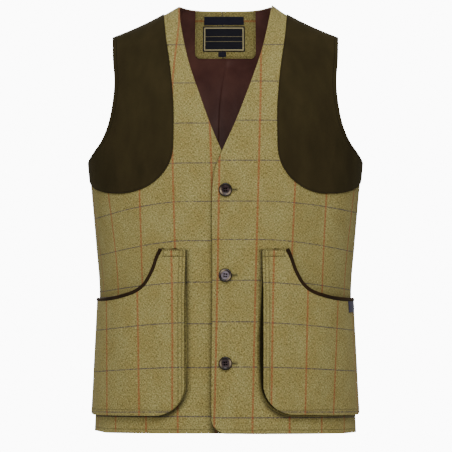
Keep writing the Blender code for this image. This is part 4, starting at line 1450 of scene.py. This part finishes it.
def gusset(pocket):
    corner = POCKET_BOTTOM + POCKET_CORNER_RADIUS
    path = [
        (pocket.inner, height)
        for height in spread(POCKET_TOP - GUSSET_STARTS_BELOW_TOP, corner, 34)[:-1]
    ]
    path += pocket.along_edge(pocket.bottom)
    mouth_end = pocket.top(pocket.outer(POCKET_TOP - MOUTH_FALL)) - 1.0
    side_heights = spread(POCKET_BOTTOM + 14.0, mouth_end, 26)
    path += [(pocket.outer(height), height) for height in side_heights]

    def on_front(column, lift=0.0):
        across, height = path[clamp(column, 0, len(path) - 1)]
        return cloth_spot(pocket.side * across, height, FRONT, lift)

    def place(column, row):
        high = pocket.lift(*path[column]) - POCKET_CLOTH - LAY_GAP
        high = max(high, LAY_GAP + GUSSET_THINNEST)
        point, out = on_front(column, LAY_GAP + (high - LAY_GAP) * row)
        along = on_front(column + 2)[0] - on_front(column - 2)[0]
        inward = pocket.side * out.cross(along).normalized()
        across, height = path[column]
        from_side = clamp((pocket.outer(height) - across) / GUSSET_SIDE_FROM)
        opened = smooth((POCKET_TOP - height) / GUSSET_OPENS_OVER)
        below = GUSSET_FOOT_BELOW[pocket.side]
        foot = GUSSET_FOOT[pocket.side] * from_side
        grown = clamp((height - GUSSET_FOOT_LOW) / GUSSET_FOOT_GROWS_OVER)
        foot *= below + (1.0 - below) * grown
        fold = 1.0 + opened * (GUSSET_FOLD * math.sin(math.pi * row) - foot * (1.0 - row))
        # Painted shade: its depth is kept in the map's second axis, darker towards the bag's edge
        # and lighter near the side seam.
        shade = GUSSET_SHADE_AT_SIDE + (1.0 - GUSSET_SHADE_AT_SIDE) * from_side
        deep = FOLD_SHADE_STARTS + FOLD_SHADE_SPAN * GUSSET_SHADE[pocket.side] * shade * row
        between_lines = PLAIN_FROM + column * PLAIN_STEP % PLAIN_WIDTH
        return spot(point + inward * fold, between_lines, deep)

    columns, rows = range(len(path)), spread(0.0, 1.0, 6)
    mesh = shell(columns, rows, place, GUSSET_CLOTH, pocket.centre(), round_edge=0.4)
    name = pocket.name.replace("pocket", "pocket_gusset")
    return show(name + "_strip", mesh, (fold_shaded_tweed,), (name,))


gussets = [gusset(pocket) for pocket in pockets]
print("gusset strips:", [round(cloth_area(strip), 4) for strip in gussets])

# %% [markdown]
# ## Bound mouths
#
# The binding is a strip folded round the raw edge of the mouth, so its section is a soft, slightly
# flat tube. A curve with a bevel would give the same tube, but each ring of this one is turned to
# the cloth below it, so that its flat side always lies on the bag.

# %% Bound mouths
BINDING_RADII = (3.1, 2.5)
BINDING_OUT = 2.4
BINDING_SINKS, BINDING_SINKS_FROM = 2.0, 0.9
TUBE_END = 0.72


def tube(path, radii, sides=14):
    """A closed tube along (point, way out) pairs. Its section is an ellipse of two radii."""
    mesh = bmesh.new()
    last = len(path) - 1
    bmesh.ops.create_grid(mesh, x_segments=sides, y_segments=last, size=0.5)
    for vertex in mesh.verts:
        turn = 2 * math.pi * round((vertex.co.x + 0.5) * sides) / sides
        j = round((vertex.co.y + 0.5) * last)
        point, out = path[j]
        along = (path[min(j + 1, last)][0] - path[max(j - 1, 0)][0]).normalized()
        aside = out.cross(along).normalized()
        end = TUBE_END if j in (0, last) else 1.0
        section = aside * radii[0] * math.cos(turn) + out * radii[1] * math.sin(turn)
        vertex.co = point + end * section
    bmesh.ops.remove_doubles(mesh, verts=mesh.verts[:], dist=1e-4)
    ends = [edge for edge in mesh.edges if edge.is_boundary]
    bmesh.ops.holes_fill(mesh, edges=ends, sides=0)
    bmesh.ops.recalc_face_normals(mesh, faces=mesh.faces[:])
    return mesh


def mouth_binding(pocket):
    clear = BINDING_RADII[1] + LAY_GAP
    edge = []
    for across, height in pocket.along_edge(pocket.top):
        if across > pocket.inner + POCKET_TOP_WIDTH - 0.8:
            lift = pocket.lift(across, height) - POCKET_CLOTH / 2
            near_side = across / pocket.outer(height) - BINDING_SINKS_FROM
            lift -= BINDING_SINKS * smooth(near_side / (1.0 - BINDING_SINKS_FROM))
            edge.append(cloth_spot(pocket.side * across, height, FRONT, max(lift, clear)))
    path = []
    for i, (point, out) in enumerate(edge):
        along = edge[min(i + 1, len(edge) - 1)][0] - edge[max(i - 1, 0)][0]
        away = pocket.side * out.cross(along).normalized()
        path.append((point + away * BINDING_OUT, out))
    name = pocket.name.replace("pocket", "pocket_piping")
    mesh = tube(path, BINDING_RADII)
    seams = mesh.verts.layers.float_vector.new("rows")
    for vertex in mesh.verts:
        vertex[seams] = NO_ROWS
    return show(name + "_strip", mesh, (binding,), (name,))


bindings = [mouth_binding(pocket) for pocket in pockets]
print("bound mouths:", [made.name for made in bindings])

# %% [markdown]
# ## Inside the neck, and the side tab
#
# A rectangle of tweed is sewn inside the back neck, cut with its check on its side, and carries
# three woven labels: a strip, the main label with a plain gold border and two rules, and a small
# tab under it. They are left bare, and so is the small ribbon tab at the left pocket's seam. A
# label could be a picture on a flat plane, but a woven one is a cloth of its own and lies on the
# round of the back, so each is cut as the other pieces are.

# %% Facing, labels and tab
FACING_HALF_WIDTH = 50.0
FACING_CORNER = 9.0
FACING_ROW = 2.5
FACING_GAP = 0.9
FACING_CLOTH = 1.4
FACING_IN = LINING_IN + LINING_CLOTH + FACING_GAP
LABEL_CLOTH = 0.6
LABEL_IN = FACING_IN + FACING_CLOTH + SEAM_GAP
LABELS = (
    ("label_strip", -35.6, 30.8, -0.4, 13.0, plain_label),
    ("label_main", -37.2, 32.2, -43.8, -2.7, bordered_label),
    ("label_size", -11.6, 1.2, -52.5, -44.5, plain_label),
)
TAB_FROM_ANGLE, TAB_TO_ANGLE = math.radians(68.0), math.radians(79.0)
TAB_TOP, TAB_BOTTOM = -446.2, -464.0
TAB_BULGE = 0.5
FACING_ABOVE_NECK = 2.0
FACING_RED_HEIGHT = -57.5
FACING_BLUE_ACROSS = -4.5


def facing_bottom(across):
    return FACING_BOTTOM + round_corner(FACING_CORNER, FACING_HALF_WIDTH - abs(across))


def facing_cloth(across, row):
    low, high = facing_bottom(across), back_top(across) + FACING_ABOVE_NECK
    height = low + (high - low) * row
    row = nearest_row(FACING_HALF_WIDTH - abs(across) - FACING_ROW, height - low - FACING_ROW)
    return spot(
        cloth_point(across, height, BACK, -FACING_IN),
        height - FACING_RED_HEIGHT,
        across - FACING_BLUE_ACROSS,
        Vector((FAR, FAR, row)),
    )


def label(name, left, right, bottom, top, finish):
    def place(across, height):
        from_side = min(across - left, right - across)
        from_end = min(height - bottom, top - height)
        edges = Vector((from_side, from_end, height - (top + bottom) / 2))
        return spot(cloth_point(across, height, BACK, -LABEL_IN), across, height, edges)

    columns, rows = spread(left, right, 30), spread(bottom, top, 20)
    mesh = shell(columns, rows, place, LABEL_CLOTH, keep_to=BACK, round_edge=0.2)
    return show(name + "_weave", mesh, (finish,), (name,))


edge_columns = spread(FACING_HALF_WIDTH, FACING_HALF_WIDTH - FACING_CORNER, 8, "start")
edge_columns += spread(FACING_HALF_WIDTH - FACING_CORNER, 0.0, 16)[1:]
facing_columns = [-value for value in edge_columns] + edge_columns[::-1][1:]
mesh = shell(facing_columns, spread(0.0, 1.0, 26), facing_cloth, FACING_CLOTH, keep_to=BACK)
# The facing's tweed is the lighter copy, painted light.
facing = show("neck_facing_cloth", mesh, (neck_tweed_painted_lighter,), ("neck_facing",))
labels = [label(*row) for row in LABELS]


def tab_place(angle, height):
    across = half_width(height) * math.sin(angle)
    bulge = TAB_BULGE * math.sin(math.pi * (height - TAB_BOTTOM) / (TAB_TOP - TAB_BOTTOM))
    return spot(pockets[0].spot(across, height, SEAM_GAP + LABEL_CLOTH + bulge)[0])


tab_columns, tab_rows = spread(TAB_FROM_ANGLE, TAB_TO_ANGLE, 8), spread(TAB_BOTTOM, TAB_TOP, 12)
mesh = shell(tab_columns, tab_rows, tab_place, LABEL_CLOTH, round_edge=0.2)
tab = show("side_tab_ribbon", mesh, (tab_label,), ("side_tab",))
print("labels:", [made.name for made in labels], "and", tab.name)

# %% [markdown]
# ## Buttons
#
# A coat button of this kind is turned: a dished middle, a raised rim and a flat back. Half of its
# section is drawn as a line of points and spun round its axis, and the four holes are cut with a
# Boolean. Each button's middle gets its own amount of painted reflection, and its rim a painted
# highlight on two sides of its own. The attribute for that is worked out before the mesh is moved
# to its place, so it turns with the button.

# %% Buttons
# Columns: name, height, lean, degrees that the holes are turned, how much painted reflection
# lightens the middle, and the two places of the rim's painted highlight, in degrees
BUTTONS = (
    ("button_top", -267.2, (0.03, 0.0, -0.02), 4.0, 0.05, (192.0, 312.0)),
    ("button_middle", -403.5, (-0.14, 0.0, 0.07), -9.0, 0.85, (132.0, 335.0)),
    ("button_bottom", -544.2, (0.02, 0.0, 0.03), 6.0, 0.1, (178.0, 2.0)),
)
RIM_HIGHLIGHT, RIM_NARROWS = 0.8, 5
BUTTON_RADIUS = 10.75
BUTTON_SEAT = 0.9
# Columns: radius, height over the flat back
BUTTON_SECTION = (
    (0.0, 2.1), (5.0, 2.1), (6.4, 2.3), (7.3, 2.9), (8.1, 3.5), (9.0, 3.7), (9.9, 3.45),
    (10.5, 2.9), (BUTTON_RADIUS, 2.2), (10.6, 1.4), (10.0, 0.7), (8.6, 0.1), (0.0, 0.0),
)
HOLE_RADIUS = 1.45
HOLE_FROM_CENTRE = 2.6


def turned_button():
    """The button's mesh in millimetres, with its face towards +Z."""
    mesh = bmesh.new()
    points = [mesh.verts.new((radius, 0.0, height)) for radius, height in BUTTON_SECTION]
    edges = [mesh.edges.new(pair) for pair in zip(points, points[1:])]
    bmesh.ops.spin(
        mesh, geom=points + edges, cent=(0, 0, 0), axis=(0, 0, 1), angle=2 * math.pi, steps=64,
        use_merge=True,
    )
    bmesh.ops.remove_doubles(mesh, verts=mesh.verts[:], dist=1e-4)
    bmesh.ops.recalc_face_normals(mesh, faces=mesh.faces[:])
    body = in_scene("button_body", finished("button_blank", mesh))
    holes = bmesh.new()
    for turn in range(4):
        quarter = math.pi / 4 + turn * math.pi / 2
        away = Vector((math.cos(quarter), math.sin(quarter), 0.0)) * HOLE_FROM_CENTRE
        bmesh.ops.create_cone(
            holes, cap_ends=True, segments=16, radius1=HOLE_RADIUS, radius2=HOLE_RADIUS,
            depth=12.0, matrix=Matrix.Translation(away),
        )
    cutter = in_scene("button_cutter", finished("button_cutter", holes))
    cut = body.modifiers.new("holes", "BOOLEAN")
    cut.operation, cut.object = "DIFFERENCE", cutter
    graph = bpy.context.evaluated_depsgraph_get()
    button = bpy.data.meshes.new_from_object(body.evaluated_get(graph))
    for helper in (body, cutter):
        bpy.data.objects.remove(helper, do_unlink=True)
    return button


button_shape = turned_button()
button_places = []
for name, height, leans, holes_turned, face_reflection, rim_highlight_sides in BUTTONS:
    point, out = cloth_spot(0.0, height, FRONT, BUTTON_SEAT + EDGE_STANDS * 0.1)
    out = (out + Vector(leans)).normalized()
    place = Matrix.Translation(point) @ out.to_track_quat("Z", "Y").to_matrix().to_4x4()
    button_places.append(place)
    mesh = bmesh.new()
    mesh.from_mesh(button_shape)
    turned = mesh.verts.layers.float_vector.new("turned")
    for vertex in mesh.verts:
        # Painted highlight on the rim, strongest at the button's two places.
        round_it = math.atan2(vertex.co.y, vertex.co.x)
        nearest = max(math.cos(round_it - math.radians(pale)) for pale in rim_highlight_sides)
        rim = RIM_HIGHLIGHT * max(nearest, 0.0) ** RIM_NARROWS
        vertex[turned] = Vector((vertex.co.xy.length, face_reflection, rim))
    turn = Matrix.Rotation(math.radians(holes_turned), 4, "Z")
    bmesh.ops.transform(mesh, verts=mesh.verts[:], matrix=place @ turn)
    show(name + "_horn", mesh, (horn,), (name,))
print("buttons", round(2 * BUTTON_RADIUS, 1), "mm across")

# %% [markdown]
# ## Stitches
#
# Thread is the finest thing on the coat. A row of lock stitches is short pieces of thread that
# dive into the cloth, one after another. Each is a tiny rounded grain with 20 faces, laid along
# the row and half sunk in its groove. A curve with a thread texture would be lighter, but it
# could not dive in and out.

# %% Rows of stitches
STITCH = 2.7
STITCH_PITCH = 3.5
THREAD = 0.32
THREAD_RISES = 0.05


def grain(mesh, centre, along, out, length, thick):
    """One stitch: a small ball drawn out along the thread and flattened on the cloth."""
    aside = out.cross(along).normalized()
    turn = Matrix((along, aside, along.cross(aside))).transposed().to_4x4()
    size = Matrix.Diagonal((length / 2, thick, thick * 0.8, 1.0))
    matrix = Matrix.Translation(centre) @ turn @ size
    bmesh.ops.create_icosphere(mesh, subdivisions=1, radius=1.0, matrix=matrix)


def sew(mesh, path, pitch=STITCH_PITCH, length=STITCH, thick=THREAD):
    """Lays stitches along a path of (point, way out) pairs."""
    travelled, wanted = 0.0, pitch / 2
    for (point, out), (after, _) in zip(path, path[1:]):
        step = (after - point).length
        while step > 0.0 and travelled + step >= wanted:
            centre = point.lerp(after, (wanted - travelled) / step)
            grain(mesh, centre, (after - point).normalized(), out, length, thick)
            wanted += pitch
        travelled += step


def stitched(name, paths, finish, slot, **sizes):
    mesh = bmesh.new()
    for path in paths:
        sew(mesh, path, **sizes)
    print(name, "has", len(mesh.faces) // 20, "stitches")
    return show(name, mesh, (finish,))


def edge_row(edge, side, low, high, lift):
    """Row beside the inner edge of a front, from one height to another."""
    path = []
    for height in spread(low, high, round(abs(high - low) / 3)):
        across = edge(height) + side * EDGE_ROW * lean(edge, height)
        path.append(cloth_spot(across, height, FRONT, lift(across, height)))
    return path


def hem_row(start, end, face, lift):
    path = []
    for angle in spread(start, end, 120):
        across = half_width(HEM) * math.sin(angle)
        height = hem(across) + HEM_ROW
        across = half_width(height) * math.sin(angle)
        path.append(cloth_spot(across, height, face, lift(across, height)))
    return path


def armhole_row(side, face, lift):
    path = []
    for height in spread(UNDERARM + 4.0, shoulder_line(SHOULDER_TIP_ACROSS) - 1.0, 80):
        edge = outer_edge(height)
        across = edge - ARMHOLE_ROW * lean(outer_edge, height) / reach(edge - 2.0, height, face)
        path.append(cloth_spot(side * across, height, face, lift))
    return path


def on_cloth(across, height):
    return THREAD_RISES


def on_left_edge(across, height):
    return THREAD_RISES + EDGE_STANDS * math.exp(-((EDGE_ROW / EDGE_BAND) ** 2))


def on_right_edge(across, height):
    return THREAD_RISES - tuck(across, height)


quarter = math.radians(89.5)
front_hem_rows = [
    hem_row(angle_at(2.0, HEM + HEM_ROW), quarter, FRONT, on_cloth),
    hem_row(-quarter, angle_at(-26.0, HEM + HEM_ROW), FRONT, on_right_edge),
]
edge_rows = [
    edge_row(left_edge, WEARER_LEFT, HEM + 26.0, NECK_POINT - 2.0, on_left_edge),
    edge_row(right_edge, WEARER_RIGHT, -196.0, NECK_POINT - 2.0, on_right_edge),
]
stitched("front_stitches", front_hem_rows + edge_rows, olive_thread, "tweed")
back_sewn = [hem_row(-quarter, quarter, BACK, on_cloth)]
back_sewn += [armhole_row(side, BACK, THREAD_RISES) for side in (WEARER_LEFT, WEARER_RIGHT)]
stitched("back_stitches", back_sewn, olive_thread, "tweed")
patch_lift = PATCH_GAP + PATCH_CLOTH + THREAD_RISES
patch_rows = [armhole_row(side, FRONT, patch_lift) for side in (WEARER_LEFT, WEARER_RIGHT)]
stitched("patch_stitches", patch_rows, dark_thread, "moleskin")

# %% Stitches on the pockets
# Shares of the round corner, where the rows down the side and along the bottom end
SIDE_ROWS_END, BOTTOM_ROW_ENDS = 0.62, 0.42
TOP_STITCH, TOP_THREAD = 1.9, 0.55
TACK_LONG, TACK_RISES = 7.0, 0.25


def pocket_rows(pocket):
    """Twin rows down the inner side, and one along the bottom."""
    paths = []
    low = POCKET_BOTTOM + POCKET_CORNER_RADIUS * SIDE_ROWS_END
    heights = spread(POCKET_TOP - 10.0, low, 70)
    for row in (POCKET_ROW - TWIN_ROWS_APART / 2, POCKET_ROW + TWIN_ROWS_APART / 2):
        across = pocket.inner + row
        paths.append([pocket.spot(across, height, THREAD_RISES) for height in heights])
    height = POCKET_BOTTOM + POCKET_BOTTOM_ROW
    starts = pocket.inner + POCKET_CORNER_RADIUS * BOTTOM_ROW_ENDS
    angles = spread(angle_at(starts, height), POCKET_OUTER_ANGLE, 60)
    places = [half_width(height) * math.sin(angle) for angle in angles]
    paths.append([pocket.spot(across, height, THREAD_RISES) for across in places])
    return paths


def top_rows(pocket):
    """The two rows that hold the top down. Their thread is darker."""
    places = spread(pocket.inner + 3.0, pocket.inner + POCKET_TOP_WIDTH - 1.0, 12)
    return [
        [pocket.spot(across, POCKET_TOP - row, THREAD_RISES) for across in places]
        for row in (1.6, POCKET_TOP_ROW)
    ]


def bar_tack(mesh, pocket, across, height):
    """A close zigzag that holds the end of the mouth."""
    for i in range(9):
        point, out = pocket.spot(across, height - TACK_LONG * i / 8, TACK_RISES)
        grain(mesh, point, Vector((1.0, 0.0, 0.25)).normalized(), out, 2.4, 0.3)


for pocket in pockets:
    name, rows = pocket.name, top_rows(pocket)
    stitched(name + "_stitches", pocket_rows(pocket), olive_thread, "tweed")
    sizes = {"length": TOP_STITCH, "thick": TOP_THREAD}
    stitched(name + "_top_stitches", rows, dark_thread, "tweed", **sizes)
mesh = bmesh.new()
for pocket in pockets:
    bar_tack(mesh, pocket, pocket.inner + POCKET_TOP_WIDTH - 3.0, POCKET_TOP - 2.0)
    bar_tack(mesh, pocket, pocket.inner + 2.4, POCKET_TOP - 2.0)
tacks = show("bar_tacks", mesh, (olive_thread,))
print(tacks.name, "hold both ends of each top,", TACK_LONG, "mm long")

# %% [markdown]
# ## Buttonholes and button threads
#
# A worked buttonhole is a slit with its edges wrapped in close stitches. It starts under the
# button and runs on past its edge, so only one end shows. A line of near-black thread is painted
# shade for the depth of the slit. The button's own thread fills its four holes and crosses in two
# bars; in the holes it is near black, painted shade for their depth.

# %% Buttonholes
SLIT_START, SLIT_END = -2.0, 18.0
SLIT_STITCHES = 26
SLIT_HALF = 1.5
PURL_RISES, PURL = 0.45, 0.38
SLIT_RISES = 0.25

mesh = bmesh.new()
slit = bmesh.new()
for _, height, *_ in BUTTONS:
    for across in spread(SLIT_START, SLIT_END, SLIT_STITCHES):
        for way in (1.0, -1.0):
            point, out = cloth_spot(across, height + way * SLIT_HALF, FRONT, PURL_RISES)
            grain(mesh, point, Vector((0.12 * way, 0.0, 1.0)).normalized(), out, 2.7, PURL)
    for i in range(9):
        turn = math.radians(-90.0 + 180.0 * i / 8)
        away = Vector((math.cos(turn), 0.0, math.sin(turn)))
        across, up = SLIT_END + SLIT_HALF * away.x, height + SLIT_HALF * away.z
        point, out = cloth_spot(across, up, FRONT, PURL_RISES)
        grain(mesh, point, away, out, 2.4, PURL)
    places = spread(SLIT_START, SLIT_END + 0.8, 10)
    slit_path = [cloth_spot(across, height, FRONT, SLIT_RISES) for across in places]
    sew(slit, slit_path, pitch=2.0, length=2.8, thick=0.34)
show("buttonhole_stitches", mesh, (olive_thread,))
# The near-black line in each slit is painted shade for its depth.
show("buttonhole_slit_shade", slit, (dark_thread,))
print(len(BUTTONS), "buttonholes", SLIT_END - SLIT_START, "mm long")

# %% Button threads
HOLE_ASIDE = HOLE_FROM_CENTRE * 0.707
BAR_LONG, BAR_RISES, BAR_BOWS = 3.3, 1.7, 0.6
PLUG_LONG, PLUG_THICK, PLUG_RISES = 2.8, 1.3, 0.1

mesh = bmesh.new()
for place in button_places:
    turned = place.to_3x3()
    right, out = turned @ Vector((1.0, 0.0, 0.0)), turned @ Vector((0.0, 0.0, 1.0))
    for way in (-1.0, 1.0):
        for i in range(7):
            share = i / 6 - 0.5
            rise = BAR_RISES + BAR_BOWS * math.cos(math.pi * share)
            where = Vector((share * BAR_LONG, way * HOLE_ASIDE, rise))
            along = Vector((1.0, 0.0, -1.3 * share)).normalized()
            grain(mesh, place @ where, turned @ along, out, 1.5, 0.26)
        # The thread in each hole is near black: painted shade for the depth of the hole.
        for side in (-1.0, 1.0):
            where = Vector((side * HOLE_ASIDE, way * HOLE_ASIDE, PLUG_RISES))
            grain(mesh, place @ where, right, out, PLUG_LONG, PLUG_THICK)
show("button_threads", mesh, (dark_thread,))
print("holes", round(2 * HOLE_ASIDE, 1), "mm apart, filled with thread")

# %% [markdown]
# ## The cloth, as it was cut
#
# Each sheet is listed with the flat rectangle that the part of it that shows would fill, the area
# of that part, measured on the finished cloth, how it is held and what it rests on. Its name,
# rectangle and the area it shows are printed.

# %% Sheets
for made, flat, area, held, rests_on in (
    (front_left, (0.330, 0.690), 0.169, "hung", ("back_cloth",)),
    (front_right, (0.330, 0.690), 0.166, "hung", ("back_cloth",)),
    (back, (0.540, 0.690), 0.325, "hung", ("front_left_cloth", "front_right_cloth")),
    (lining, (0.540, 0.660), 0.305, "hung", ("back_cloth",)),
    (facing, (0.110, 0.100), 0.0090, "laid", ("lining_cloth",)),
    (patch_left, (0.200, 0.310), 0.0356, "laid", ("front_left_cloth",)),
    (patch_right, (0.200, 0.310), 0.0356, "laid", ("front_right_cloth",)),
    (bags[0], (0.205, 0.268), 0.0456, "laid", ("front_left_cloth",)),
    (bags[1], (0.200, 0.268), 0.0450, "laid", ("front_right_cloth",)),
    (gussets[0], (0.620, 0.012), 0.0066, "folded", ("front_left_cloth",)),
    (gussets[1], (0.620, 0.012), 0.0061, "folded", ("front_right_cloth",)),
    (bindings[0], (0.200, 0.010), 0.0019, "folded", ("pocket_left_bag",)),
    (bindings[1], (0.200, 0.010), 0.0019, "folded", ("pocket_right_bag",)),
    (labels[0], (0.067, 0.0155), None, "laid", ("neck_facing_cloth",)),
    (labels[1], (0.0695, 0.0450), None, "laid", ("neck_facing_cloth",)),
    (labels[2], (0.0128, 0.0100), 0.00011, "laid", ("neck_facing_cloth",)),
    (tab, (0.0330, 0.0170), 0.00056, "folded", ("pocket_left_bag",)),
):
    print(made.name, "cut", flat, "shows", round(cloth_area(made), 5))

# %% [markdown]
# ## Floor, light and camera
#
# The coat is shown nearly square from the front with a long lens, which looks down by half a
# degree, against white. A soft lamp high up near the middle gives the small shadows below each
# edge. A weaker and wider one fills from the viewer's left, one lights the shoulders, one the
# back, and the pale surroundings do the rest. The surroundings are far brighter for the camera
# than for the cloth, so that they look white and yet don't wash out the folds.

# %% Floor and lamps
FLOOR = -730.0
WORLD_LIGHT, WORLD_SEEN = 0.24, 11.0
LAMPS_AIM_AT = Vector((0.0, 0.0, -0.33))

world = bpy.data.worlds.new("studio")
bpy.context.scene.world = world
world.use_nodes = True
backdrop = world.node_tree.nodes["Background"]
backdrop.inputs["Color"].default_value = (1.0, 1.0, 1.0, 1.0)
seen = add(world.node_tree, "LightPath")
strength = {"Value": seen, "To Min": WORLD_LIGHT, "To Max": WORLD_SEEN}
strength = add(world.node_tree, "MapRange", None, strength)
world.node_tree.links.new(strength.outputs[0], backdrop.inputs["Strength"])

mesh = bmesh.new()
bmesh.ops.create_circle(mesh, cap_ends=True, segments=96, radius=1.0)
bmesh.ops.transform(mesh, verts=mesh.verts[:], matrix=Matrix.Translation((0, 0, FLOOR * MM)))
floor = in_scene("floor", finished("floor", mesh))
floor_paint = start_material("floor_paint", 0.8, Base_Color=linear("#ececea"))[0]
floor.data.materials.append(floor_paint)
floor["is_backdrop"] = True

for name, place, size, energy in (
    ("key", (0.15, -1.85, 1.05), 1.1, 40.0),
    ("fill", (-1.9, -2.6, 0.3), 2.0, 16.0),
    ("top", (0.2, -0.8, 2.4), 1.6, 14.0),
    ("rear", (-0.6, 2.8, 1.2), 2.4, 40.0),
):
    lamp = bpy.data.lights.new(name, "AREA")
    lamp.size = size
    lamp.energy = energy
    holder = in_scene(name, lamp)
    holder.location = place
    aim = LAMPS_AIM_AT - Vector(place)
    holder.rotation_mode = "QUATERNION"
    holder.rotation_quaternion = aim.to_track_quat("-Z", "Y")

print("floor at", FLOOR, "mm,", len(bpy.data.lights), "lamps")

# %% Camera
PIXEL = 1.6  # millimetres
FRAME_PIXELS = 452
ORIGIN_COLUMN, ORIGIN_ROW = 225.4, 22.3
DISTANCE = 24000.0
SEEN_AT_DEPTH = -40.0
CENTRE_ACROSS = (FRAME_PIXELS / 2 - ORIGIN_COLUMN) * PIXEL
CENTRE_HEIGHT = (ORIGIN_ROW - FRAME_PIXELS / 2) * PIXEL
LOOKS_DOWN = math.radians(0.5)

lens = bpy.data.cameras.new("camera")
lens.sensor_width = 36.0
lens.lens = lens.sensor_width * DISTANCE / (FRAME_PIXELS * PIXEL)
lens.clip_end = 100.0
camera = in_scene("camera", lens)
away = Vector((0.0, -math.cos(LOOKS_DOWN), math.sin(LOOKS_DOWN))) * DISTANCE
camera.location = (Vector((CENTRE_ACROSS, SEEN_AT_DEPTH, CENTRE_HEIGHT)) + away) * MM
camera.rotation_euler = (math.radians(90.0) - LOOKS_DOWN, 0.0, 0.0)
bpy.context.scene.camera = camera
print("camera", round(lens.lens), "mm lens")

# %% Sizes, and the end
low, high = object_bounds()
sizes = {"cad": [list(cad_low), list(cad_high)], "visual": [list(low), list(high)]}
print("visual model spans", [round(size, 4) for size in high - low])
